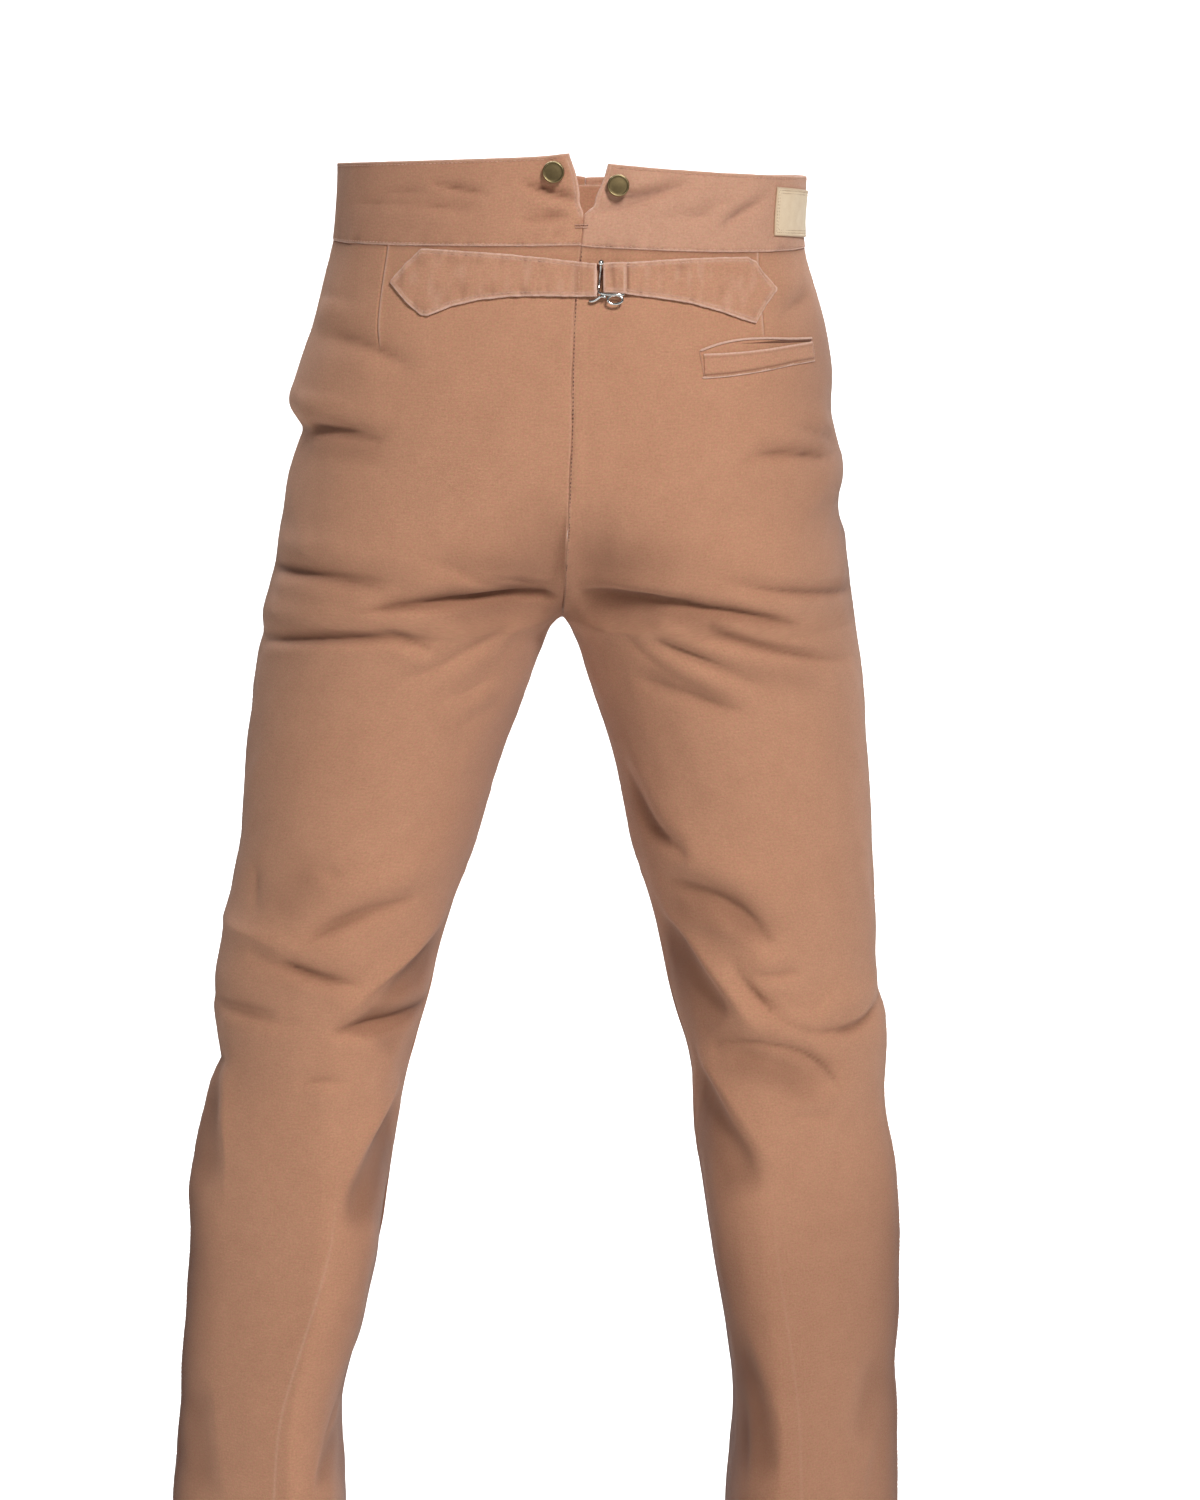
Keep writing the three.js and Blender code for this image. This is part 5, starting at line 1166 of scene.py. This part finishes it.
def strap(node, side):
    table, fold = STRAP[side], STRAP_FOLD[side]
    length = abs(STRAP_TIP[side] - STRAP_END[side])
    along = spread(0.0, length, NEAR_EDGE, NEAR_EDGE, 90)[0]
    x = STRAP_END[side] + side * along
    top, bottom = outline_at(table, x)
    slope_top, slope_bottom = (np.gradient(line, x)[:, None] for line in (top, bottom))
    share = spread(0.0, STRAP_HIGH, NEAR_EDGE, NEAR_EDGE, 8)[0] / STRAP_HIGH
    z = top[:, None] + (bottom - top)[:, None] * share
    xs = np.broadcast_to(x[:, None], z.shape)
    high = np.abs(top - bottom)[:, None]
    from_top, from_bottom = share * high, (1 - share) * high
    near = np.minimum(from_top / np.hypot(1, slope_top), from_bottom / np.hypot(1, slope_bottom))
    along = along[:, None]
    edge = least(near, along, length - along)

    def beside(name):
        much, where, width = fold[name]
        return much * bump(along - where, width)

    pucker = ripple(60 + side, xs, z * 0.4, 5, 14) * np.exp(-near / 6) * 0.4
    folded = smoothstep((fold["reach"] - along) / fold["over"])
    bend = along - BEND_LEAN * from_top
    relief = 0.2 * bump(near - STRAP_STITCH, 0.6) + beside("dent") - fold["high"] * folded
    relief = relief + fold["bend"] * bump(bend - BEND_AT, 1.6) * folded
    face, out = on_backs(xs, z, table.at("lift", x)[:, None] + STRAP_CLOTH - relief + pucker)
    rubbed_and_painted_light = np.clip(ripple(66 + side, xs, z * 0.4, 6, 26) - 0.2, 0, 1) * 0.14
    wear_and_painted_light = np.maximum(np.maximum(bump(edge, 1.2), 0.35 * bump(near - STRAP_STITCH, 0.8)), rubbed_and_painted_light)
    # the folded end's edge: worn pale, and also a painted highlight
    wear_and_painted_light = np.maximum(wear_and_painted_light, beside("edge"))
    # painted shade in the puckers' hollows, with mottled dye in patches; then painted shade along the folded
    # end's dark line and on the dark side of the bend
    dull = np.clip(-0.8 * pucker, 0, 0.3) + np.clip(ripple(68 + side, xs, z, 9, 40) - 0.5, 0, 1) * 0.16
    dull = dull + beside("line") + (0.5 * bump(bend - BEND_AT + 1, 1.3) if fold["bend"] else 0)
    piece = shell(node + "_cloth", face, out, STRAP_CLOTH, edge, band_canvas, (xs, z), wear_and_painted_light, dull)
    return stand_for(piece, node)


# ---- Wire ---------------------------------------------------------------------------------------
WIRE_SIDES = 14


def circle(sides, first, second):
    """Directions round a ring between two directions, or between two for each ring."""
    angle = np.arange(sides) * 2 * math.pi / sides
    first, second = np.asarray(first), np.asarray(second)
    return first[..., None, :] * np.cos(angle)[:, None] + second[..., None, :] * np.sin(angle)[:, None]


def tube(rings, closed=False, tips=None):
    """Points and faces of a row of rings, which ends in a fan at each tip or runs round to its start."""
    rows, sides = rings.shape[:2]
    index = np.arange(rows * sides).reshape(rows, sides)
    index = np.concatenate([index, index[:1]]) if closed else index
    after = np.roll(index, -1, axis=1)
    quads = np.stack([index[:-1], after[:-1], after[1:], index[1:]], -1).reshape(-1, 4)
    points = rings.reshape(-1, 3)
    if closed:
        return points, quads, None
    tips = tips or (rings[0].mean(0), rings[-1].mean(0))
    fans = [(len(points), after[0][k], index[0][k]) for k in range(sides)]
    fans += [(len(points) + 1, index[-1][k], after[-1][k]) for k in range(sides)]
    return np.concatenate([points, tips]), quads, fans


def wire(path, radius, closed=False):
    """A round wire along a smooth path."""
    steps = np.roll(path, -1, axis=0) - np.roll(path, 1, axis=0) if closed else np.gradient(path, axis=0)
    tangent = unit(steps)
    across = unit(np.cross(tangent, [0.0, 1.0, 0.0]))
    radius = np.broadcast_to(np.asarray(radius, float), (len(path),))[:, None, None]
    spokes = circle(WIRE_SIDES, across, np.cross(across, tangent))
    return tube(path[:, None] + spokes * radius, closed)


def rounded(points, passes=3, closed=False):
    """A path through some points with its corners cut round."""
    path = np.asarray(points, float)
    for _ in range(passes):
        after = np.roll(path, -1, axis=0) if closed else path[1:]
        before = path if closed else path[:-1]
        cut = np.stack([before * 0.75 + after * 0.25, before * 0.25 + after * 0.75], 1).reshape(-1, 3)
        path = cut if closed else np.concatenate([path[:1], cut, path[-1:]])
    return path


WIRE_THICK = 1.9
# The buckle's frame as x, z and the height above the backs: down from the ball, along the bottom
# bar and round to the tail.
BUCKLE_FRAME = [(-20.2, -52.6, 5.2), (-20.1, -55.0, 3.4), (-19.8, -60, 1.6), (-18.9, -69, 1.6),
                (-18.2, -72.2, 4.0), (-21.5, -73.6, 5.6), (-27, -73.8, 6.8), (-33.5, -74.2, 6.6),
                (-35.6, -73.6, 4.8)]
BUCKLE_TAIL = [(-12.0, -77.6, 2.2), (-14.5, -78.2, 3.2), (-17.5, -76.8, 4.0), (-20.0, -74.6, 5.0),
               (-23.5, -75.6, 5.6)]
BUCKLE_RING = {"x": -29.4, "z": -77.2, "wide": 4.9, "high": 2.9, "lift": 5.4, "thick": 1.7}
RING_STEPS = 40
BALL_RADIUS = 2.2
NEAR_TIP = (0, 0.05, 0.15, 0.35, 0.6, 0.95)  # mm from a wire's rounded tip


def over_backs(spots):
    spots = np.asarray(spots, float)
    return on_backs(spots[:, 0], spots[:, 1], spots[:, 2])[0]


def capped(path, radius):
    """Radii of a wire with rounded ends."""
    walked = walk(path)
    share = np.clip(1 - np.minimum(walked, walked[-1] - walked) / radius, 0, 1)
    return radius * np.sqrt(1 - share * share) + 0.02


def fine_path(points):
    """More points along a path, dense at its ends."""
    walked = walk(points)
    return between(spread(0.0, walked[-1], NEAR_TIP, NEAR_TIP, 40)[0], walked, points)


def wire_piece(name, spots, radius, node=None, closed=False):
    path = rounded(over_backs(spots), closed=closed)
    path = path if closed else fine_path(path)
    points, quads, fans = wire(path, radius if closed else capped(path, radius), closed)
    piece = make_piece(name, points, quads, nickel, {"wear_and_painted_light": np.full(len(points), 0.5)}, fans)
    return stand_for(piece, node)


def buckle():
    wire_piece("cinch_buckle_wire", BUCKLE_FRAME, WIRE_THICK / 2, "cinch_buckle")
    wire_piece("cinch_buckle_tail", BUCKLE_TAIL, WIRE_THICK / 2)
    r = BUCKLE_RING
    angle = np.arange(RING_STEPS) * 2 * math.pi / RING_STEPS
    spots = np.stack([r["x"] + r["wide"] * np.cos(angle), r["z"] + r["high"] * np.sin(angle),
                      np.full(RING_STEPS, r["lift"])], -1)
    wire_piece("cinch_buckle_ring", spots, r["thick"] / 2, "cinch_buckle_loop", closed=True)
    # the ball on the frame's upper end, from its top down
    polar = np.linspace(0.02, math.pi - 0.02, 10)[:, None, None]
    spokes = circle(16, [1.0, 0.0, 0.0], [0.0, 1.0, 0.0])
    rings = np.sin(polar) * spokes + np.cos(polar) * np.array([0.0, 0.0, 1.0])
    points, quads, fans = tube(rings * BALL_RADIUS + over_backs(BUCKLE_FRAME[:1])[0])
    head = make_piece("cinch_buckle_head", points, quads, nickel, {"wear_and_painted_light": np.full(len(points), 0.6)}, fans)
    stand_for(head, None)


# ---- Pocket and patch ---------------------------------------------------------------------------
POCKET_TOP = Table("u z", [(0.488, -111.5), (0.535, -107.5), (0.6, -105), (0.656, -105.2),
                           (0.74, -107), (0.826, -108.5)])
WELT_TOP = Table("u z", [(0.488, -113.5), (0.56, -113.4), (0.65, -112.4), (0.74, -111), (0.826, -110.6)])
WELT_BOTTOM = Table("u z", [(0.49, -129.5), (0.57, -128.4), (0.65, -126.3), (0.74, -124), (0.826, -123.6)])
WELT_FROM, WELT_TO = 0.497, 0.822  # u
WELT_LEVEL = -118.0                # the height at which its length is measured
WELT_HIGH = 15.0
WELT_THICK = 1.1
WELT_LIFT = 1.5
# the path of a dark strip of painted shadow in the pocket's mouth
POCKET_SLIT_SHADOW = Table("u z", [(0.57, -107.6), (0.7, -108.2), (0.76, -108.6), (0.822, -109.4)])
LIP_THICK = 1.6
PATCH = Table("u top bottom", [(0.745, -4.5, -37.5), (1.015, -11.5, -44)])
PATCH_FROM, PATCH_TO = 0.745, 1.015  # u
PATCH_LEVEL = -22.0
PATCH_HIGH = 33.0
PATCH_THICK = 1.3
PATCH_STITCH = (2.2, 4.0)  # mm from the edge to each line of stitches
UNDERLAP = {"left": 20, "right": -24, "top": -14, "bottom": -195, "inside": 3.4}


def laid_grid(u0, u1, level, top, bottom, rows, columns):
    """A grid on the right side between two lines, with each point's distance from its top, its
    bottom and its nearer end. rows says how the grid divides its height."""
    ring = ROUND[RIGHT]
    lo, hi = (float(ring.length_at(u, level)) for u in (u0, u1))
    length = spread(lo, hi, NEAR_EDGE, NEAR_EDGE, columns)[0]
    u = ring.u_at(length, level)
    high = (top(u) - bottom(u))[:, None]
    z = top(u)[:, None] - high * rows
    ends = np.minimum(length - lo, hi - length)[:, None]
    return length[:, None], np.broadcast_to(u[:, None], z.shape), z, rows * high, (1 - rows) * high, ends


def welt():
    rows = spread(0.0, WELT_HIGH, NEAR_EDGE, NEAR_SEAM[:8], 6)[0] / WELT_HIGH
    length, u, z, from_top, from_bottom, ends = laid_grid(
        WELT_FROM, WELT_TO, WELT_LEVEL, lambda u: WELT_TOP.at("z", u), lambda u: WELT_BOTTOM.at("z", u),
        rows, 34)
    lift = WELT_LIFT + ripple(71, length, z, 9, 30) * 0.18 - 0.5 * bump(ends, 2.0)
    face, out = skin(RIGHT, u, z, lift)
    # the top edge: worn pale, and also a painted highlight
    wear_and_painted_light = 0.8 * bump(from_top - 0.4, 0.9)
    # painted shade in the grooves above the bottom lip and under the top edge
    dull = 0.8 * bump(from_bottom - 1.7, 0.8) + 0.3 * bump(from_top - 2.2, 0.8)
    piece = shell("pocket_welt_cloth", face, out, WELT_THICK, least(from_top, from_bottom, ends),
                  band_canvas, (-length, z), wear_and_painted_light, dull)
    return stand_for(piece, "pocket_welt")


def lip(name, table, u0, u1, lift, thick, rubbed_and_painted_light, shade, taper=0.0):
    """A folded edge of the back, sewn down as a thin round ridge, drawn out thin at its start; also the dark
    strip of painted shadow in the pocket's mouth.
    """
    u = np.linspace(u0, u1, 70)
    z = table.at("z", u)
    path = skin(RIGHT, u, z, lift)[0]
    radii = capped(path, thick / 2)
    if taper:
        radii = radii * smoothstep(np.linspace(0, 1, len(u)) / taper) + 0.02
    points, quads, fans = wire(path, radii)
    length = np.repeat(ROUND[RIGHT].length_at(u, z), WIRE_SIDES)
    weave = np.stack([-length, np.tile(np.arange(float(WIRE_SIDES)), len(u)), 0 * length], -1)
    weave = np.concatenate([weave, weave[:1], weave[-1:]])
    extra = {"weave": weave, "wear_and_painted_light": np.full(len(points), rubbed_and_painted_light), "deep": np.full(len(points), shade)}
    return stand_for(make_piece(name, points, quads, band_canvas, extra, fans))


def patch():
    rows = spread(0.0, PATCH_HIGH, NEAR_EDGE, NEAR_EDGE, 14)[0] / PATCH_HIGH
    length, u, z, from_top, from_bottom, ends = laid_grid(
        PATCH_FROM, PATCH_TO, PATCH_LEVEL, lambda u: PATCH.at("top", u), lambda u: PATCH.at("bottom", u),
        rows, 26)
    edge = least(from_top, from_bottom, ends)
    dent = 0.25 * sum(bump(edge - inset, 0.5) for inset in PATCH_STITCH)
    lift = BAND_PROUD + 0.25 + PATCH_THICK - dent + ripple(81, length, z, 10, 40) * 0.15
    face, out = skin(RIGHT, u, z, lift)
    piece = shell("patch_leather", face, out, PATCH_THICK, edge, leather, (length, z), bump(edge, 1.0))
    return stand_for(piece, "patch")


def underlap():
    """The strip of cloth behind the closed fly."""
    lap = UNDERLAP
    xs, zs = np.meshgrid(spread(lap["right"], lap["left"], NEAR_EDGE, NEAR_EDGE, 8)[0],
                         spread(lap["bottom"], lap["top"], NEAR_EDGE, NEAR_EDGE, 40)[0])
    centre = CENTRE.at("x", zs)
    face = np.stack([centre + xs, 0 * xs, zs], -1)
    for side in (LEFT, RIGHT):
        mine = (xs >= 0) == (side == LEFT)
        across = u_across(side, centre[mine] + xs[mine], zs[mine])
        smooth_front = cloth(side, np.maximum(2 - across, 1 + JUST_FRONT), zs[mine])
        face[mine, 1] = smooth_front[:, 1] + lap["inside"]
    edge = least(xs - lap["right"], lap["left"] - xs, zs - lap["bottom"], lap["top"] - zs)
    out = np.broadcast_to(np.array([0.0, -1.0, 0.0]), face.shape)
    piece = shell("fly_underlap_cloth", face, out, CANVAS, edge, band_canvas, (xs, zs), 0.4 * bump(edge, 1.2))
    return stand_for(piece, "fly_underlap")


# ---- Buttons ------------------------------------------------------------------------------------
BUTTON_SIDES = 56
BUTTON_PROFILE = [  # radius, height, rubbed brightness
    (0.0, 0.0, 0.0), (1.6, 0.0, 0.0), (2.4, 0.15, 0.0), (2.5, 0.4, 0.0), (2.5, 2.2, 0.0), (3.0, 2.4, 0.0),
    (6.6, 2.45, 0.1), (7.1, 2.6, 0.3), (7.42, 2.95, 0.6), (7.5, 3.4, 0.8), (7.45, 3.9, 0.9),
    (7.25, 4.4, 1.0), (7.0, 4.72, 1.0), (6.75, 4.85, 0.9), (6.5, 4.82, 0.6), (6.25, 4.6, 0.2),
    (6.0, 4.45, 0.0), (5.6, 4.42, 0.0), (4.4, 4.52, 0.0), (3.0, 4.62, 0.0), (1.5, 4.68, 0.0), (0.0, 4.7, 0.0)]
FACE_FROM = 15  # the row of the profile where the dark face of the cap begins
BUTTONS = [  # name, x, z, on the front
    ("brace_button_back_left", 11.5, 7.5, False), ("brace_button_back_right", -31.5, -1.5, False),
    ("brace_button_front_left_inner", 62, -20, True), ("brace_button_front_left_outer", 112, -17, True),
    ("brace_button_front_right_inner", -78, -20, True),
    ("brace_button_front_right_outer", -126, -19, True), ("waist_button", 4, -32, True)]


def button(name, x, z, front):
    """A stamped cap on a short post, standing where the frame's own button stands."""
    side = LEFT if x >= float(CENTRE.at("x", z)) else RIGHT
    across = float(u_across(side, x, z))
    u = 2 - across if front else across
    foot, out = (v[0] for v in skin(side, np.array([u]), np.array([float(z)]), BAND_PROUD + 0.1))
    right = unit(np.cross(out, [0.0, 0.0, 1.0]))
    spokes = circle(BUTTON_SIDES, right, np.cross(right, out))
    profile = BUTTON_PROFILE[1:-1]
    rings = np.stack([foot + spokes * r + out * h for r, h, _ in profile])
    points, quads, fans = tube(rings, tips=(foot, foot + out * BUTTON_PROFILE[-1][1]))
    wear_and_painted_light = np.append(np.repeat([w for _, _, w in profile], BUTTON_SIDES), [0.0, 0.0])
    piece = make_piece(name + "_metal", points, quads, brass, {"wear_and_painted_light": wear_and_painted_light}, fans)
    piece.data.materials.append(brass_face)
    on_face = np.repeat(np.arange(len(profile) - 1) >= FACE_FROM - 1, BUTTON_SIDES)
    on_face = np.concatenate([on_face, np.repeat([False, True], BUTTON_SIDES)])
    piece.data.polygons.foreach_set("material_index", on_face.astype(np.int32))
    return stand_for(piece, name)


# ---- Sewing -------------------------------------------------------------------------------------
def sew_band():
    sewing = Sewing()
    for side in (LEFT, RIGHT):
        u = np.linspace(0.02, 1.995, 600)
        sewing.run(*skin(side, u, BAND[side].at("seam", u) + BAND_STITCH["seam"], BAND_PROUD), seed=3 + side)
        u = np.linspace(float(band_start(side, 14.0)) + 0.02, 1.99, 600)
        sewing.run(*skin(side, u, BAND[side].at("top", u) - BAND_STITCH["top"], BAND_PROUD), seed=5 + side)
        z = np.linspace(14.0, NOTCH_BOTTOM_Z + 0.5, 60)
        off = NOTCH[side].at("off", z) + BAND_STITCH["notch"]
        u = u_across(side, CENTRE.at("x", z) + side * off, z)
        sewing.run(*skin(side, u, z, BAND_PROUD + 0.15), seed=8 + side)
    sewing.finish("stitches_band")


def sew_backs():
    sewing = Sewing()
    z = np.linspace(-44, -300, 300)
    sewing.run(*on_backs(CENTRE.at("x", z) - 0.9, z, 0.2), pitch=2.7, length=1.7, thick=0.8, seed=12)
    # stitches darkened as painted shade, where they sit in the seam's shadow
    sewing.finish("stitches_centre_seam", thread_in_painted_shade)
    sewing = Sewing()
    z = np.linspace(-1092, -60, 900)
    for side in (LEFT, RIGHT):
        u = ROUND[side].u_near(ROUND[side].length_at(1.0, z) - 2.0, z)
        sewing.run(*skin(side, u, z, 0.45), pitch=3.2, length=2.2, thick=0.5, seed=20 + side)
    sewing.finish("stitches_backs")


def sew_hems():
    sewing = Sewing()
    for side in (LEFT, RIGHT):
        for u0, u1 in ((0.004, 0.996), (1.004, 1.996)):
            u = np.linspace(u0, u1, 300)
            sewing.run(*skin(side, u, np.full(300, HEM_Z + HEM_STITCH), 0.05), seed=30 + side)
    sewing.finish("stitches_hems")


def sew_fly():
    sewing = Sewing()
    turn = np.sin(np.linspace(0, math.pi / 2, 60)[1:])
    z = np.concatenate([np.linspace(-56, FLY_LINE["straight"], 60),
                        FLY_LINE["straight"] + (FLY_LINE["end"] + 1 - FLY_LINE["straight"]) * turn])
    for inset in (0.0, 6.0):
        off = np.maximum(fly_width(z) - inset, 1.2)
        u = ROUND[LEFT].u_near(ROUND[LEFT].length_at(2.0, z) - off, z)
        sewing.run(*skin(LEFT, u, z, 0.35), seed=40 + int(inset))
    sewing.finish("stitches_fly")


def sew_straps():
    sewing = Sewing()
    for side in (LEFT, RIGHT):
        x = np.linspace(STRAP_END[side] + side * 2.5, STRAP_TIP[side] - side * 4.5, 240)
        lift = STRAP[side].at("lift", x) + STRAP_CLOTH - 0.12
        for which, (edge, inwards) in enumerate(zip(outline_at(STRAP[side], x), (-1, 1))):
            z = edge + inwards * STRAP_STITCH * np.hypot(1, np.gradient(edge, x))
            sewing.run(*on_backs(x, z, lift), seed=50 + side * 2 + which)
    x = STRAP_END[LEFT] + STRAP_FOLD[LEFT]["reach"]
    lift = float(STRAP[LEFT].at("lift", x)) + STRAP_CLOTH - 0.7
    sewing.run(*on_backs(x, np.linspace(-54.5, -73.0, 30), lift), seed=59)
    sewing.finish("stitches_straps")


def sew_pocket():
    sewing = Sewing()
    u = np.linspace(WELT_FROM, WELT_TO, 60)
    bottom = WELT_BOTTOM.at("z", u) + 0.6
    sewing.run(*skin(RIGHT, u, bottom, 1.2), pitch=2.6, length=1.9, thick=0.5, seed=60)
    for u0, tilt in ((0.492, 0.004), (0.826, 0.0)):
        z = np.linspace(float(POCKET_TOP.at("z", u0)), float(WELT_BOTTOM.at("z", u0)), 40)
        path, out = skin(RIGHT, np.linspace(u0 - tilt, u0 + tilt, 40), z, 0.5)
        sewing.run(path, out, pitch=1.3, length=1.5, thick=0.5, seed=62)
    sewing.finish("stitches_pocket")


def sew_patch():
    sewing = Sewing()
    ring = ROUND[RIGHT]
    lo, hi = (float(ring.length_at(u, PATCH_LEVEL)) for u in (PATCH_FROM, PATCH_TO))
    for inset in PATCH_STITCH:
        corners = []
        for end, edge, inwards in ((lo, "top", 1), (hi, "top", 1), (hi, "bottom", -1), (lo, "bottom", -1)):
            length = end + (inset if end == lo else -inset)
            z = float(PATCH.at(edge, ring.u_at(length, PATCH_LEVEL))) - inwards * inset
            corners.append((length, z))
        for (l0, z0), (l1, z1) in zip(corners, corners[1:] + corners[:1]):
            u = ring.u_at(np.linspace(l0, l1, 40), PATCH_LEVEL)
            path, out = skin(RIGHT, u, np.linspace(z0, z1, 40), BAND_PROUD + 0.12 + PATCH_THICK)
            sewing.run(path, out, pitch=2.2, length=1.6, thick=0.42, seed=70)
    sewing.finish("stitches_patch", tan_thread)


def sew_tacks():
    """Bar tacks: close short stitches across a line."""
    sewing = Sewing()
    for x, z, wide in ((-7.2, -27.2, 9.5), (-7.2, -28.9, 8.5)):
        path, out = on_backs(np.linspace(x - wide / 2, x + wide / 2, 20), z, BAND_PROUD + 0.6)
        sewing.run(path, out, pitch=1.1, length=1.6, thick=1.0, seed=80)
    sewing.finish("stitches_tacks")


# ---- The trousers -------------------------------------------------------------------------------
HANDS = {LEFT: "left", RIGHT: "right"}
for half, front in (("back", False), ("front", True)):
    for side, hand in HANDS.items():
        panel(f"{half}_{hand}", side, front)
bands = {side: waistband(f"waistband_{hand}", side) for side, hand in HANDS.items()}
straps = {side: strap(f"cinch_strap_{hand}", side) for side, hand in HANDS.items()}
buckle()
welt_cloth = welt()
lip("pocket_lip_top", POCKET_TOP, 0.488, 0.827, 0.5, LIP_THICK, 0.9, 0.0)
lip("pocket_lip_bottom", WELT_BOTTOM, 0.49, 0.826, 0.45, LIP_THICK, 0.9, 0.0)
# a dark strip of painted shadow in the pocket's mouth, between the lip and the welt
lip("pocket_slit_shadow", POCKET_SLIT_SHADOW, 0.57, 0.822, -0.05, 2.1, 0.0, 1.1, 0.7)
patch_piece = patch()
underlap_cloth = underlap()
for name, x, z, front in BUTTONS:
    button(name, x, z, front)
sew_band()
sew_backs()
sew_hems()
sew_fly()
sew_straps()
sew_pocket()
sew_patch()
sew_tacks()

# ---- Floor, light and camera --------------------------------------------------------------------
scene = bpy.context.scene
scene.view_settings.view_transform = "Standard"
FLOOR_Z = -1.9          # m, well under the hems, so that no shadow of the legs falls in sight


def studio():
    """A pale floor that sweeps up into a pale wall."""
    half, near, back, rise, bend = 9.0, 8.0, -7.5, 6.5, 1.5
    arc = [(back + bend - bend * math.sin(a), FLOOR_Z + bend - bend * math.cos(a))
           for a in np.linspace(0, math.pi / 2, 12)]
    line = [(near, FLOOR_Z)] + arc + [(back, FLOOR_Z + rise)]
    points = [Vector((x, y, z)) for y, z in line for x in (-half, half)]
    quads = [(2 * k, 2 * k + 1, 2 * k + 3, 2 * k + 2) for k in range(len(line) - 1)]
    f = Finish("studio_paper")
    cloud = f.noise(f.add("TexCoord").outputs["Object"], 0.8, 2.0)
    f.put(f.shader, "Base Color", f.mix(f.span(cloud, 0.3, 0.7), (0.66, 0.66, 0.66, 1), (0.7, 0.7, 0.7, 1)))
    f.plain(Roughness=0.9)
    mesh = bpy.data.meshes.new("studio")
    mesh.from_pydata(points, [], quads)
    mesh.materials.append(f.material)
    mesh.polygons.foreach_set("use_smooth", np.ones(len(quads), bool))
    obj = bpy.data.objects.new("studio", mesh)
    scene.collection.objects.link(obj)


def area_light(name, place, target, size, power, height=None):
    light = bpy.data.lights.new(name, "AREA")
    light.shape = "RECTANGLE"
    light.size = size
    light.size_y = height or size
    light.energy = power
    obj = bpy.data.objects.new(name, light)
    obj.location = place
    obj.rotation_mode = "QUATERNION"
    obj.rotation_quaternion = (Vector(target) - Vector(place)).to_track_quat("-Z", "Y")
    scene.collection.objects.link(obj)


studio()
MIDDLE = (0.0, 0.0, -0.45)
area_light("key", (-1.99, 5.48, 4.11), MIDDLE, 1.5, 466)
area_light("fill", (2.2, 4.2, 0.2), MIDDLE, 1.6, 15)
area_light("overhead", (0.0, -3.6, 3.2), (0.0, -4.6, -1.9), 6.0, 620, 3.0)
area_light("backdrop", (0.0, -4.4, 3.6), (0.0, -7.5, 0.4), 6.0, 340, 1.5)
world = bpy.data.worlds.new("studio_air")
world.use_nodes = True
world.node_tree.nodes["Background"].inputs[0].default_value = (1.0, 1.0, 1.0, 1.0)
world.node_tree.nodes["Background"].inputs[1].default_value = 0.07
scene.world = world

CAMERA_FAR = 3.2        # m behind the side seams
CAMERA_PITCH = 10.4     # degrees downwards
CAMERA_LENS = 109.7     # mm on a 36 mm long side
camera = bpy.data.objects.new("camera", bpy.data.cameras.new("camera"))
camera.location = (-0.0196, CAMERA_FAR, 0.18)
camera.rotation_euler = (math.radians(90 - CAMERA_PITCH), 0.0, math.pi)
camera.data.lens = CAMERA_LENS
camera.data.sensor_width = 36
scene.collection.objects.link(camera)
scene.camera = camera
